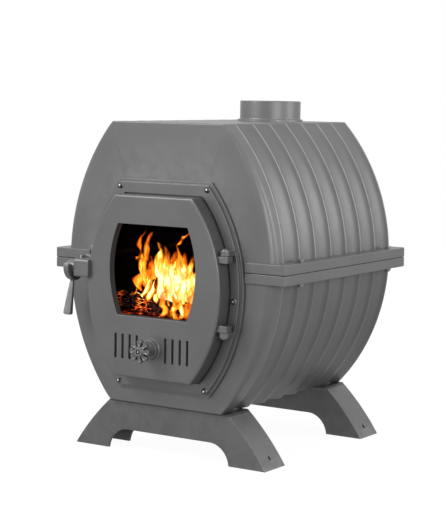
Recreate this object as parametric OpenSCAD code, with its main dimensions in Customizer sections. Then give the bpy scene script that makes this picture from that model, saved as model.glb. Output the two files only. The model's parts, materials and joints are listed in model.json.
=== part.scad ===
// Barrel-shaped cast-iron heating stove with a glazed, hinged door.
// The stove faces -Y and stands on z = 0. The origin is on the floor, in the middle of its
// overall width and depth. Lengths are in millimetres.

/* [Body] */
// Depth of the body, front face to rear face
body_depth = 472; // [400:4:540]
// Height of the body, flat bottom to flat top
body_h = 566; // [540:2:620]
// Width across the middle, over the rib crests
mid_w = 500; // [480:2:540]
// Width of the flat top and of the flat bottom
flat_w = 270; // [250:2:300]
// Wall thickness of the two shells
wall = 8; // [6:0.5:10]
// Radius of the rounded front edge
front_round = 14; // [10:1:24]
// Height of the legs
leg_h = 103; // [80:1:130]

/* [Ribs] */
// Ribs behind the plain front band
rib_count = 7; // [5:1:9]
// Depth of the plain front band
front_band = 40; // [30:1:60]
// How far a rib swells outward on the sides
rib_rise = 6; // [3:0.5:8]
// Radius of a rib's swell, seen from above
rib_r = 200; // [150:5:200]
// How far a rib swells downward on the bottom
bottom_rise = 5; // [2:0.5:6]

/* [Middle flange] */
// Thickness of each of the two flanges
flange_t = 19; // [14:0.5:24]
// How far the flange stands out at the sides
flange_side = 28; // [26:1:34]
// How far the flange stands out in front
flange_front = 4; // [3:0.5:8]
// How far the flange stands out at the rear
flange_rear = 20; // [19:1:30]
// Corner radius of the flange
flange_round = 9; // [5:1:14]
// Thickness of the seal between the flanges
flange_seal_t = 2; // [1:0.5:3]
// How far that seal stays back from the flange edge
flange_seal_inset = 2; // [1:0.5:4]
// Length of a bolt's end past its nut
bolt_end = 2; // [1:0.5:5]
// Front flange bolt, behind the front face
bolt_front_y = 77; // [60:1:110]
// Rear flange bolt, before the rear face
bolt_rear_y = 35; // [30:5:80]
// Rear flange bolts, either side of the middle
bolt_rear_x = 110; // [80:5:160]

/* [Flue] */
// Outer radius of the flue collar
collar_r = 65; // [55:1:68]
// Wall thickness of the flue collar
collar_wall = 5; // [4:0.5:8]
// Height of the collar above the top
collar_h = 43; // [35:1:70]
// Width of the ledge inside the collar that stops a pipe
collar_stop = 3; // [2:0.5:4]
// How much the collar widens where it passes through the top
collar_neck = 2; // [1:0.5:3]
// Middle of the collar, before the rear face
collar_rear = 90; // [88:1:140]
// Width of the clamping rim under the top
collar_rim = 15; // [14:0.5:16]
// Thickness of the clamping rim
collar_rim_t = 6; // [5:0.5:8]
// Thickness of the seal above the rim
collar_seal_t = 2; // [1:0.5:3]
// Width of the bead round the collar on the top
bead_w = 3; // [2:0.5:6]
// Height of the bead
bead_h = 4; // [2:0.5:8]
// Width across flats of the collar bolts
collar_bolt_flats = 10; // [8:0.5:10]
// Height of their heads
collar_bolt_head = 4; // [3:0.5:6]
// How far they bite into the top
collar_bolt_bite = 5; // [3:0.5:5.5]

/* [Legs] */
// Depth of each leg
leg_depth = 76; // [60:1:100]
// Front leg, behind the front face
leg_inset = 12; // [6:1:20]
// Overall width over the feet
foot_span = 464; // [430:2:500]
// Width of the leg where it meets the body
leg_top_w = 286; // [274:2:300]
// Bulge of the leg's outer edge
leg_bulge = 4.5; // [2:0.5:8]
// Wall thickness of the legs
leg_wall = 6; // [5:0.5:8]
// Width of the arch at the floor
arch_w = 293; // [260:1:300]
// Height of the arch
arch_h = 42; // [30:1:60]
// Corner radius of the arch
arch_r = 46; // [40:1:60]
// Radius of the hole in each foot
foot_hole_r = 3.5; // [2.5:0.5:5]
// Height of that hole
foot_hole_z = 20; // [15:1:28]
// Leg bolts, either side of the middle
leg_bolt_x = 70; // [50:5:100]

/* [Door frame] */
// Height of the door's middle above the floor
door_z = 345; // [335:1:355]
// Width of the frame at its middle
frame_mid_w = 374; // [368:2:390]
// Width of the frame at its top and bottom
frame_flat_w = 217; // [213:1:235]
// Height of the frame
frame_h = 422; // [416:2:440]
// Distance of the frame's front from the body's front
frame_proud = 12; // [10:0.5:14]
// Thickness of the paper seal behind the frame
frame_seal_t = 1.5; // [1:0.5:2]
// Thickness of the stepped rim of the frame
frame_rim_t = 4; // [3:0.5:6]
// Width of the stepped rim
frame_rim_w = 6; // [4:0.5:7]
// Depth of the rope groove
groove_t = 6; // [4:0.5:7]
// Width of the rope groove
groove_w = 12; // [10:0.5:13]
// Frame opening, inside the door's outline
frame_lip = 20; // [17:1:26]
// Frame screws, inside the corners of the frame, across
screw_in_x = 4; // [2:0.5:8]
// Frame screws, inside the corners of the frame, upward
screw_in_z = 14; // [12:0.5:16]
// Middle frame screws, inside the widest edge
screw_mid_in = 18; // [15:0.5:18]
// Middle frame screws, below the door's middle
screw_mid_drop = 15; // [0:1:30]

/* [Door] */
// Width of the door at its middle
door_mid_w = 318; // [312:2:322]
// Width of the door at its top and bottom
door_flat_w = 184; // [176:2:190]
// Height of the door
door_h = 362; // [352:2:366]
// Distance of the door's face from the body's front
door_proud = 48; // [46:1:52]
// Radius of the door's front edge
door_round = 4; // [2:0.5:6]
// Thickness of the door's face
door_t = 6; // [5:0.5:8]
// Thickness of the door's side wall
door_wall = 7; // [5:0.5:8]
// Running gap between moving faces
run_gap = 0.3; // [0.2:0.1:0.5]
// Rim of metal round a small screw's boss
boss_rim = 0.5; // [0.5:0.5:2]
// Depth of the blind holes in the door's face
blind_t = 3; // [2:0.5:4]
// Set-back of a hidden opening or seal behind the edge before it
set_back = 1; // [0.5:0.5:2]

/* [Window] */
// Height of the window's middle above the door's middle
window_rise = 33; // [25:1:39]
// Width of the window at its middle
window_mid_w = 206; // [180:2:212]
// Width of the window at its top and bottom
window_flat_w = 166; // [150:2:172]
// Height of the window
window_h = 182; // [160:2:190]
// Depth of the glass behind the door's face
glass_depth = 18; // [14:0.5:22]
// Thickness of the glass
glass_t = 4; // [3:0.5:5]
// Overlap of the glass round the window
glass_lap = 12; // [9:0.5:13]
// Width of the seal ring's free margin round the window
glass_seal_in = 2; // [1:0.5:4]
// Wall thickness of the window's collar
reveal_wall = 5; // [4:0.5:7]
// Thickness of the seal before the glass
glass_seal_t = 1.5; // [1:0.5:2]
// Width of a glass clip
clip_w = 16; // [12:1:20]
// Thickness of a glass clip
clip_t = 2; // [1.5:0.5:3]
// Clip screws, outside the edge of the glass
clip_out = 6.5; // [6:0.5:8]
// Clip screws, above and below the window's middle
clip_dz = 69; // [50:1:75]

/* [Air control] */
// Depth of the air knob below the door's middle
air_drop = 120; // [117:1:123]
// Slots on each side of the knob
slot_count = 4; // [3:1:4]
// Spacing of the slots
slot_pitch = 17.4; // [14:0.2:18]
// Innermost slot, from the middle
slot_first = 34.4; // [30:0.2:36]
// Width of a slot
slot_w = 5.2; // [4:0.2:7]
// Height of a slot
slot_h = 50; // [40:1:52]
// Radius of the boss behind the knob
air_boss_r = 20; // [16:0.5:22]
// How far that boss stands out
air_boss_t = 10; // [8:0.5:14]
// Radius of the air spindle
spindle_r = 4; // [3:0.5:5]
// Radius of the spindle's thrust collar
thrust_r = 8; // [7:0.5:9]
// Thickness of the thrust collar
thrust_t = 4; // [3:0.5:5]
// Room round the thrust collar
thrust_room = 1.5; // [1:0.5:2]
// Room behind the thrust collar
thrust_back = 3; // [2:0.5:4]
// Radius of the air knob
knob_r = 22.5; // [18:0.5:25]
// Thickness of the air knob
knob_t = 12; // [10:0.5:16]
// Distance of the knob's front from the door's face
knob_reach = 43; // [40:1:50]
// Lobes round the knob
knob_lobes = 8; // [5:1:10]
// Radius of the knob's neck and hub
knob_neck_r = 9; // [7:0.5:12]
// How far the hub stands before the petals
knob_rise = 2; // [1:0.5:3]
// Radius of the grooves between the petals
petal_r = 1.6; // [1:0.1:2.5]
// Radius of the notches round the rim
notch_r = 3.2; // [2:0.1:5]
// Depth of the screw's seat in the knob
knob_seat = 3; // [3:0.5:5]
// Length of that screw's thread in the spindle
knob_bite = 8; // [5:0.5:12]
// Thickness of the shutter plate
shutter_t = 3; // [2:0.5:4]
// How far the shutter opens
shutter_travel = 12; // [8:1:14]
// Height of the shutter plate
shutter_h = 58; // [56:1:60]
// Width of the shutter plate
shutter_w = 196; // [190:1:200]
// Radius of the shutter's threaded boss
shutter_nut_r = 9; // [7:0.5:11]
// Length of that boss
shutter_nut_t = 8; // [5:0.5:10]
// Free end of the spindle and guides behind the open shutter
shutter_end = 2; // [1:0.5:4]
// Guide pins, either side of the spindle
guide_x = 19; // [17:0.5:22]
// Radius of a guide pin
guide_r = 3; // [2:0.5:3.5]

/* [Hinge] */
// Hinge axis outside the door's widest edge
hinge_out = 1; // [0.5:0.5:3]
// Hinge axis before the body's front
hinge_y = 30; // [29:0.5:34]
// Hinge lugs, either side of the door's middle
hinge_offset = 66.5; // [60:0.5:90]
// Thickness of a door lug
lug_t = 13; // [10:0.5:18]
// Half the width of a door lug
lug_r = 11; // [10:0.5:12]
// Thickness of a frame ear
ear_t = 11; // [8:0.5:16]
// Radius of a frame ear
ear_r = 10; // [8:0.5:10]
// Radius of a hinge pin
pin_r = 4; // [3:0.5:5]
// Radius of a hinge pin's head
pin_head_r = 7.5; // [6:0.5:9]
// Height of a hinge pin's head
pin_head_h = 4; // [2:0.5:6]
// Rounding of a lug's outer corners
lug_round = 3; // [2:0.5:5]
// Running clearance round pins and spindles
pin_clear = 0.06; // [0.02:0.01:0.1]

/* [Latch] */
// Height of the latch axis above the door's middle
latch_rise = 29; // [27:1:31]
// Latch axis before the body's front
latch_y = 39; // [38:0.5:42]
// Radius of the latch boss on the door
latch_boss_r = 18; // [16:0.5:18]
// Radius of the hook's hub
latch_hub_r = 14; // [12:0.5:14.5]
// Outer end of the latch boss, from the middle
latch_boss_x = 188; // [186:1:192]
// Length of the hook's hub
latch_hub_w = 23; // [20:0.5:28]
// Thickness of the hook across
hook_w = 12; // [8:0.5:16]
// Inner radius of the hook
hook_in_r = 21.5; // [21.5:0.1:22]
// Radial thickness of the hook
hook_t = 6; // [4:0.5:6.5]
// Radius of the keeper's bar
keeper_r = 3; // [2:0.5:3]
// Distance of the keeper's bar from the latch axis
keeper_dist = 18; // [17.6:0.1:18.2]
// Angle of the keeper's bar above level
keeper_angle = 45; // [40:1:50]
// Gap between the hook's nose and the bar above it
hook_gap = 0.4; // [0.3:0.1:1]
// Angle of the hook's free side, from level toward the stove
hook_back = 160; // [150:5:170]
// Angle where the hook's web ends
web_end = 285; // [270:5:300]
// Radius of the latch pivot
pivot_r = 5; // [4:0.5:6]
// Length of the pivot's thread in its boss
pivot_bite = 30; // [20:1:32]
// Radius of the pivot's head
pivot_head_r = 8.5; // [7:0.5:10]
// Height of the pivot's head
pivot_head_h = 5; // [3:0.5:7]
// Length of the handle
handle_len = 70; // [60:1:100]
// Radius of the handle at its top
handle_top_r = 4.5; // [4:0.5:6]
// Radius of the handle at its end
handle_end_r = 10; // [8:0.5:13]
// Lean of the handle away from the stove
handle_lean = 9; // [0:1:15]
// Gap between the hook's rim and the handle
handle_gap = 2; // [1:0.5:4]
// Radius of the stud inside the handle
stud_r = 3; // [2:0.5:3.5]
// Length of that stud
stud_len = 22; // [15:1:30]
// Thickness of the keeper's strap before the flange
keeper_strap_t = 3; // [2:0.5:4]
// Height of the keeper's base
keeper_base_h = 30; // [28:1:40]
// Width of the keeper's base
keeper_base_w = 15; // [14:1:16]
// Gap between the keeper's base and the door
keeper_gap = 4; // [3:0.5:5]
// Thickness of the keeper's arm
keeper_arm_t = 4; // [3:0.5:5]
// Height of the keeper's arm
keeper_arm_h = 10; // [8:0.5:14]
// Lower keeper screw, above the bar
keeper_screw_z = 8; // [7:0.5:10]
// Spacing of the keeper screws
keeper_screw_pitch = 14; // [10:0.5:16]

/* [Inside] */
// Height of the grate's top above the floor
grate_z = 274; // [265:1:280]
// Thickness of the grate
grate_t = 12; // [10:0.5:16]
// Width of a grate bar
grate_bar = 10; // [8:0.5:14]
// Width of a grate slot
grate_slot = 12; // [10:0.5:14]
// Slots across the grate
grate_slots = 15; // [11:2:15]
// Free space before and behind the grate
inner_gap = 30; // [15:1:40]
// Reach of the ledges under the grate and the baffle
ledge_w = 16; // [12:1:22]
// Ledges, behind the front face and before the rear face
ledge_y = 115; // [80:5:160]
// Free space round the grate and the baffle
plate_gap = 2; // [1:0.5:4]
// Free space round the ash pan
pan_gap = 4.5; // [3:0.5:8]
// Free space before and behind the ash pan
pan_end_gap = 15; // [10:1:18]
// Thickness of the ledges
ledge_t = 10; // [8:0.5:14]
// Height of the baffle's underside above the floor
baffle_z = 540; // [530:1:550]
// Thickness of the baffle
baffle_t = 8; // [6:0.5:10]
// Smoke gap before the baffle
baffle_gap = 100; // [80:5:140]
// Height of the ash pan
pan_h = 50; // [40:1:55]
// Sheet thickness of the ash pan
pan_t = 1.5; // [1:0.5:3]

/* [Fasteners] */
// Radius of the flange and leg bolts
bolt_r = 4; // [3:0.5:4]
// Width across flats of their hexagons
bolt_flats = 13; // [11:0.5:13]
// Height of their heads
bolt_head_h = 5.5; // [4:0.5:7]
// Height of their nuts
nut_h = 6.5; // [5:0.5:8]
// Clearance round a bolt
bolt_clear = 0.5; // [0.2:0.1:1]
// Radius of the frame screws
screw_r = 3; // [2:0.5:3]
// Radius of a frame screw's head
screw_head_r = 5.5; // [4.5:0.5:5.5]
// Height of a frame screw's head
screw_head_h = 4; // [3:0.5:5]
// Radius of the small screws
small_r = 2.5; // [2:0.5:3]
// Radius of a small screw's head
small_head_r = 4.5; // [4:0.5:5]
// Height of a small screw's head
small_head_h = 3; // [2:0.5:4]

/* [Hidden] */

big_fn = 180;
mid_fn = 64;
small_fn = 40;
collar_fn = 96;
eps = 0.01;

cast_grey = [0.42, 0.42, 0.42];
dark_seal = [0.16, 0.16, 0.16];
bright_steel = [0.72, 0.72, 0.74];
fire_black = [0.1, 0.1, 0.1];
glass_tint = [0.85, 0.8, 0.7, 0.35];

// Radius of the side arc of a barrel outline, from its widths and height
function arc_r(mid, flat, h) = let (s = (mid - flat) / 2) (h * h / 4 + s * s) / (2 * s);
// Half width of a barrel outline at a height above its middle
function half_w(mid, flat, h, dz) =
    let (r = arc_r(mid, flat, h)) sqrt(r * r - dz * dz) - (r - mid / 2);

side_r = arc_r(mid_w, flat_w, body_h);
side_cx = side_r - mid_w / 2;
body_top = leg_h + body_h;
split_z = leg_h + body_h / 2;
rib_pitch = (body_depth - front_band) / rib_count;
rib_run = sqrt(rib_r * rib_r - (rib_r - rib_rise) * (rib_r - rib_rise));
inner_r = side_r - rib_rise - wall;
floor_z = leg_h + bottom_rise + wall;
roof_z = body_top - wall;

// Half width of the hollow body at a height above the floor
function inner_half(z) = sqrt(inner_r * inner_r - pow(z - split_z, 2)) - side_cx;

knob_front = -door_proud - knob_reach;
spindle_front = knob_front + knob_t / 2;
mid_y = (body_depth + flange_rear + knob_front) / 2;
flange_w = mid_w + 2 * flange_side;
flange_bolt_x = mid_w / 2 + flange_side / 2;
collar_y = body_depth - collar_rear;
collar_bolt_r = collar_r + collar_rim / 2;
neck_r = collar_r + collar_neck;
leg_y = [leg_inset, body_depth - leg_depth];

window_z = door_z + window_rise;
air_z = door_z - air_drop;
latch_z = door_z + latch_rise;
door_back = frame_proud + run_gap;
glass_front = door_proud - glass_depth;
glass_back = glass_front - glass_t;
seal_front = glass_front + glass_seal_t;
hinge_x = door_mid_w / 2 + hinge_out;
air_boss_front = door_proud + air_boss_t;
door_inner = door_proud - door_t;
shutter_front = door_inner - run_gap;
thrust_front = door_inner + thrust_t + run_gap + thrust_back;
keeper_y = latch_y - keeper_dist * cos(keeper_angle);
keeper_z = latch_z + keeper_dist * sin(keeper_angle);
hook_x = latch_boss_x + run_gap + latch_hub_w / 2;
hook_out_r = hook_in_r + hook_t;

module placed() {
    translate([0, -mid_y, 0]) children();
}

// ---- outlines and blocks ----

// Flat outline with two bowed sides, optionally drawn in by an inset
module barrel_2d(mid, flat, h, inset = 0) {
    r = arc_r(mid, flat, h);
    intersection() {
        translate([mid / 2 - r, 0]) circle(r = r - inset, $fn = big_fn);
        translate([r - mid / 2, 0]) circle(r = r - inset, $fn = big_fn);
        square([mid - 2 * inset, h - 2 * inset], center = true);
    }
}

// Extrudes an outline drawn in X and Z along the depth, from y0 to y1, its middle at height z
module along_y(y0, y1, z) {
    translate([0, y1, z])
        rotate([90, 0, 0])
            linear_extrude(height = y1 - y0) children();
}

// Rod along Y
module rod_y(x, y0, y1, z, r, fn = mid_fn) {
    translate([x, y1, z])
        rotate([90, 0, 0])
            cylinder(r = r, h = y1 - y0, $fn = fn);
}

// Rod along X
module rod_x(x0, x1, y, z, r, fn = mid_fn) {
    translate([x0, y, z])
        rotate([0, 90, 0])
            cylinder(r = r, h = x1 - x0, $fn = fn);
}

module hexagon(flats, h) {
    cylinder(r = flats / 2 / cos(30), h = h, $fn = 6);
}

// Low round head on a flat seat, its dome upward
module round_head(r, h) {
    dome_r = (r * r + h * h) / (2 * h);
    intersection() {
        translate([0, 0, h - dome_r]) sphere(r = dome_r, $fn = small_fn);
        cylinder(r = r, h = h, $fn = small_fn);
    }
}

// Half section of a disc with a rounded front edge: radius across, depth upward
module round_disc_2d(r, y0, y1, edge) {
    translate([0, y0 + edge]) square([r, y1 - y0 - edge]);
    translate([0, y0]) square([r - edge, edge]);
    translate([r - edge, y0 + edge]) circle(r = edge, $fn = small_fn);
}

// Section along the depth of a block with rounded front edges
module round_slab_2d(h, y0, y1, edge) {
    translate([y0 + edge, -h / 2]) square([y1 - y0 - edge, h]);
    translate([y0, -h / 2 + edge]) square([edge, h - 2 * edge]);
    for (s = [-1, 1]) {
        translate([y0 + edge, s * (h / 2 - edge)]) circle(r = edge, $fn = small_fn);
    }
}

// Turns a half section about the side arc's axis, once for each side
module both_sides(cx, z) {
    intersection_for (s = [0, 1]) {
        mirror([s, 0, 0])
            translate([-cx, 0, z])
                rotate([-90, 0, 0])
                    rotate_extrude($fn = big_fn) children();
    }
}

// Extrudes a section drawn in Y and Z across the width
module across_x(w, z) {
    translate([-w / 2, 0, z])
        rotate([90, 0, 90])
            linear_extrude(height = w) children();
}

// Bowed block with a rounded front edge
module barrel_block(mid, flat, h, y0, y1, edge, z) {
    r = arc_r(mid, flat, h);
    intersection() {
        both_sides(r - mid / 2, z) round_disc_2d(r, y0, y1, edge);
        across_x(mid, z) round_slab_2d(h, y0, y1, edge);
    }
}

// ---- shells ----

// Half section of the ribbed side: each rib swells toward the rear and steps back in
module ribbed_2d() {
    round_disc_2d(side_r, 0, front_band, front_round);
    for (i = [0 : rib_count - 1]) {
        y0 = front_band + i * rib_pitch;
        intersection() {
            translate([0, y0]) square([side_r, rib_pitch]);
            union() {
                translate([side_r - rib_r, y0 + rib_run]) circle(r = rib_r, $fn = big_fn);
                translate([0, y0]) square([side_r - rib_r, rib_pitch]);
            }
        }
    }
}

// Section along the depth: flat top, ribbed bottom
module ribbed_slab_2d() {
    steps = [for (i = [rib_count - 1 : -1 : 0])
        each [
            [front_band + (i + 1) * rib_pitch, -body_h / 2],
            [front_band + i * rib_pitch, -body_h / 2 + bottom_rise]
        ]];
    polygon(concat(
        [[0, body_h / 2], [body_depth, body_h / 2]],
        steps,
        [[front_band, -body_h / 2], [0, -body_h / 2]]
    ));
}

module body_outside() {
    intersection() {
        both_sides(side_cx, split_z) ribbed_2d();
        across_x(mid_w, split_z) ribbed_slab_2d();
    }
}

module body_inside() {
    intersection() {
        both_sides(side_cx, split_z) translate([0, wall]) square([inner_r, body_depth - 2 * wall]);
        translate([-mid_w / 2, 0, floor_z]) cube([mid_w, body_depth, roof_z - floor_z]);
    }
}

module flange_2d(inset = 0) {
    w = flange_w - 2 * inset;
    d = body_depth + flange_front + flange_rear - 2 * inset;
    r = flange_round;
    translate([0, (body_depth + flange_rear - flange_front) / 2]) {
        square([w - 2 * r, d], center = true);
        square([w, d - 2 * r], center = true);
        for (sx = [-1, 1], sy = [-1, 1]) {
            translate([sx * (w / 2 - r), sy * (d / 2 - r)]) circle(r = r, $fn = small_fn);
        }
    }
}

module flange_slab(z0, z1, inset = 0) {
    translate([0, 0, z0]) linear_extrude(height = z1 - z0) flange_2d(inset);
}

// Opening through the front wall, just clear of the frame's own opening
module front_opening() {
    along_y(-flange_front - eps, wall + eps, door_z)
        barrel_2d(door_mid_w, door_flat_w, door_h, frame_lip - set_back);
}

// Room in the front flange for the door frame
module frame_seat() {
    along_y(-flange_front - eps, 0, door_z) barrel_2d(frame_mid_w, frame_flat_w, frame_h, -run_gap);
}

module at_flange_bolts() {
    for (s = [-1, 1]) {
        translate([s * flange_bolt_x, bolt_front_y, 0]) children();
        translate([s * flange_bolt_x, body_depth - bolt_rear_y, 0]) children();
        translate([s * bolt_rear_x, body_depth + flange_rear / 2, 0]) children();
    }
}

module at_frame_screws() {
    for (sx = [-1, 1]) {
        for (sz = [-1, 1]) {
            translate([sx * (frame_flat_w / 2 - screw_in_x), 0,
                       door_z + sz * (frame_h / 2 - screw_in_z)]) children();
        }
        translate([sx * (frame_mid_w / 2 - screw_mid_in), 0, door_z - screw_mid_drop]) children();
    }
}

module at_leg_bolts() {
    for (y = leg_y, s = [-1, 1]) {
        translate([s * leg_bolt_x, y + leg_depth / 2, 0]) children();
    }
}

module at_collar_bolts() {
    for (a = [45 : 90 : 315]) {
        translate([0, collar_y, 0])
            rotate([0, 0, a])
                translate([collar_bolt_r, 0, 0]) children();
    }
}

module frame_screw_holes() {
    at_frame_screws() rod_y(0, -frame_proud - eps, wall + eps, 0, screw_r, small_fn);
}

// Ledges cast on the side walls, reaching in from the wall at their own height
module ledges(top_z) {
    middle = inner_half(top_z);
    intersection() {
        body_outside();
        for (s = [-1, 1], y = [ledge_y, body_depth - ledge_y]) {
            translate([s * middle - ledge_w, y - ledge_w, top_z - ledge_t])
                cube([2 * ledge_w, 2 * ledge_w, ledge_t]);
        }
    }
}

module shell_half(z0, z1) {
    flange_low = z0 > leg_h ? z0 : z1 - flange_t;
    difference() {
        union() {
            intersection() {
                body_outside();
                translate([-mid_w, -body_depth, z0]) cube([2 * mid_w, 3 * body_depth, z1 - z0]);
            }
            flange_slab(flange_low, flange_low + flange_t);
        }
        body_inside();
        front_opening();
        frame_seat();
        frame_screw_holes();
        at_flange_bolts() translate([0, 0, split_z - 2 * flange_t])
            cylinder(r = bolt_r + bolt_clear, h = 4 * flange_t, $fn = small_fn);
    }
}

module upper_shell() {
    color(cast_grey) placed() {
        difference() {
            union() {
                shell_half(split_z + flange_seal_t / 2, body_top);
                ledges(baffle_z);
                translate([0, collar_y, body_top])
                    cylinder(r = neck_r + pin_clear + bead_w, h = bead_h, $fn = mid_fn);
            }
            translate([0, collar_y, roof_z - eps])
                cylinder(r = neck_r + pin_clear, h = wall + bead_h + 2 * eps, $fn = mid_fn);
            at_collar_bolts() translate([0, 0, roof_z - eps])
                cylinder(r = screw_r, h = collar_bolt_bite + bolt_clear, $fn = small_fn);
        }
    }
}

module leg_pads() {
    for (y = leg_y) {
        translate([-flat_w / 2 + rib_rise, y, leg_h])
            cube([flat_w - 2 * rib_rise, leg_depth, bottom_rise + wall]);
    }
}

module lower_shell() {
    color(cast_grey) placed() {
        difference() {
            union() {
                shell_half(leg_h, split_z - flange_seal_t / 2);
                ledges(grate_z - grate_t);
                leg_pads();
            }
            at_leg_bolts() translate([0, 0, leg_h - eps])
                cylinder(r = bolt_r + bolt_clear, h = bottom_rise + wall + 2 * eps, $fn = small_fn);
        }
    }
}

module flange_seal() {
    color(dark_seal) placed() {
        difference() {
            flange_slab(split_z - flange_seal_t / 2, split_z + flange_seal_t / 2, flange_seal_inset);
            body_inside();
            front_opening();
            frame_seat();
            at_flange_bolts() translate([0, 0, split_z - flange_t])
                cylinder(r = bolt_r + bolt_clear, h = 2 * flange_t, $fn = small_fn);
        }
    }
}

module flange_bolts() {
    top = split_z + flange_seal_t / 2 + flange_t;
    grip = 2 * flange_t + flange_seal_t + nut_h + bolt_end;
    color(cast_grey) placed() at_flange_bolts() {
        translate([0, 0, top]) hexagon(bolt_flats, bolt_head_h);
        translate([0, 0, top - grip]) cylinder(r = bolt_r, h = grip + eps, $fn = small_fn);
    }
}

module flange_nuts() {
    under = split_z - flange_seal_t / 2 - flange_t;
    color(cast_grey) placed() at_flange_bolts() {
        difference() {
            translate([0, 0, under - nut_h]) hexagon(bolt_flats, nut_h);
            translate([0, 0, under - nut_h - eps])
                cylinder(r = bolt_r, h = nut_h + 2 * eps, $fn = small_fn);
        }
    }
}

// ---- flue ----

module flue_collar() {
    rim_top = roof_z - collar_seal_t;
    stop_top = body_top + bead_h + collar_neck;
    socket_r = collar_r - collar_wall;
    color(cast_grey) placed() translate([0, collar_y, 0]) difference() {
        union() {
            translate([0, 0, rim_top - collar_rim_t])
                cylinder(r = collar_r, h = body_top + collar_h - rim_top + collar_rim_t, $fn = collar_fn);
            translate([0, 0, rim_top - collar_rim_t])
                cylinder(r = neck_r, h = body_top + bead_h - rim_top + collar_rim_t, $fn = collar_fn);
            translate([0, 0, rim_top - collar_rim_t])
                cylinder(r = collar_r + collar_rim, h = collar_rim_t, $fn = collar_fn);
        }
        translate([0, 0, rim_top - collar_rim_t - eps])
            cylinder(r = socket_r - collar_stop, h = collar_h + body_top - rim_top, $fn = collar_fn);
        translate([0, 0, stop_top]) cylinder(r = socket_r, h = collar_h, $fn = collar_fn);
        translate([0, -collar_y, rim_top - collar_rim_t - eps])
            at_collar_bolts() cylinder(r = screw_r + bolt_clear, h = collar_rim_t + 2 * eps,
                                       $fn = small_fn);
    }
}

module flue_collar_seal() {
    color(dark_seal) placed() difference() {
        translate([0, collar_y, roof_z - collar_seal_t])
            cylinder(r = collar_r + collar_rim, h = collar_seal_t, $fn = collar_fn);
        translate([0, collar_y, roof_z - collar_seal_t - eps])
            cylinder(r = neck_r + pin_clear, h = collar_seal_t + 2 * eps, $fn = collar_fn);
        translate([0, 0, roof_z - collar_seal_t - eps])
            at_collar_bolts() cylinder(r = screw_r + bolt_clear, h = collar_seal_t + 2 * eps,
                                       $fn = small_fn);
    }
}

module flue_collar_bolts() {
    seat = roof_z - collar_seal_t - collar_rim_t;
    color(bright_steel) placed() at_collar_bolts() {
        translate([0, 0, seat - collar_bolt_head]) hexagon(collar_bolt_flats, collar_bolt_head);
        translate([0, 0, seat - eps])
            cylinder(r = screw_r, h = collar_rim_t + collar_seal_t + collar_bolt_bite + eps,
                     $fn = small_fn);
    }
}

// ---- legs ----

// Leg outline in X and Z: feet spread outward along two gently bowed edges
module leg_2d(inset = 0) {
    top = [leg_top_w / 2, leg_h];
    foot = [foot_span / 2, 0];
    chord = norm(foot - top);
    r = chord * chord / (8 * leg_bulge) + leg_bulge / 2;
    outward = [top[1] - foot[1], foot[0] - top[0]] / chord;
    centre = (top + foot) / 2 - outward * (r - leg_bulge);
    intersection() {
        translate(centre) circle(r = r - inset, $fn = big_fn);
        translate([-centre[0], centre[1]]) circle(r = r - inset, $fn = big_fn);
        translate([-foot_span / 2, 0]) square([foot_span, leg_h - inset]);
    }
}

module arch_2d() {
    corner_x = arch_w / 2 - sqrt(arch_r * arch_r - pow(arch_h - arch_r, 2));
    for (s = [-1, 1]) {
        translate([s * corner_x, arch_h - arch_r]) circle(r = arch_r, $fn = mid_fn);
    }
    translate([-corner_x, -arch_h]) square([2 * corner_x, 2 * arch_h]);
}

module leg(y) {
    difference() {
        along_y(y, y + leg_depth, 0) leg_2d();
        along_y(y + leg_wall, y + leg_depth - leg_wall, 0) {
            leg_2d(leg_wall);
            translate([-foot_span / 2 + 2 * leg_wall, -leg_wall])
                square([foot_span - 4 * leg_wall, 2 * leg_wall]);
        }
        along_y(y - eps, y + leg_depth + eps, 0) arch_2d();
        rod_x(-foot_span / 2, foot_span / 2, y + leg_depth / 2, foot_hole_z, foot_hole_r, small_fn);
        at_leg_bolts() translate([0, 0, leg_h - 2 * leg_wall])
            cylinder(r = bolt_r + bolt_clear, h = 4 * leg_wall, $fn = small_fn);
    }
}

module front_leg() {
    color(cast_grey) placed() leg(leg_y[0]);
}

module rear_leg() {
    color(cast_grey) placed() leg(leg_y[1]);
}

module leg_bolts() {
    grip = bottom_rise + wall + leg_wall + nut_h + bolt_end;
    color(bright_steel) placed() at_leg_bolts() {
        translate([0, 0, floor_z]) hexagon(bolt_flats, bolt_head_h);
        translate([0, 0, floor_z - grip]) cylinder(r = bolt_r, h = grip + eps, $fn = small_fn);
    }
}

module leg_nuts() {
    under = leg_h - leg_wall;
    color(bright_steel) placed() at_leg_bolts() {
        difference() {
            translate([0, 0, under - nut_h]) hexagon(bolt_flats, nut_h);
            translate([0, 0, under - nut_h - eps])
                cylinder(r = bolt_r, h = nut_h + 2 * eps, $fn = small_fn);
        }
    }
}

// ---- door frame ----

// Distance from the door's outline to the outer and inner edge of the rope groove
groove_out = (door_wall - groove_w) / 2;
groove_in = (door_wall + groove_w) / 2;
upper_lug_z = door_z + hinge_offset;
lower_lug_z = door_z - hinge_offset;
ear_shift = lug_t / 2 + run_gap + ear_t / 2;

module groove(y0, y1, slack = 0) {
    difference() {
        along_y(y0, y1, door_z) barrel_2d(door_mid_w, door_flat_w, door_h, groove_out - slack);
        along_y(y0 - eps, y1 + eps, door_z)
            barrel_2d(door_mid_w, door_flat_w, door_h, groove_in + slack);
    }
}

// Ear that carries a hinge pin, joined to the frame behind it
module ear(z) {
    translate([hinge_x, -hinge_y, z - ear_t / 2]) {
        cylinder(r = ear_r, h = ear_t, $fn = mid_fn);
        translate([-ear_r, 0, 0]) cube([2 * ear_r, hinge_y - frame_proud + eps, ear_t]);
    }
}

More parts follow.
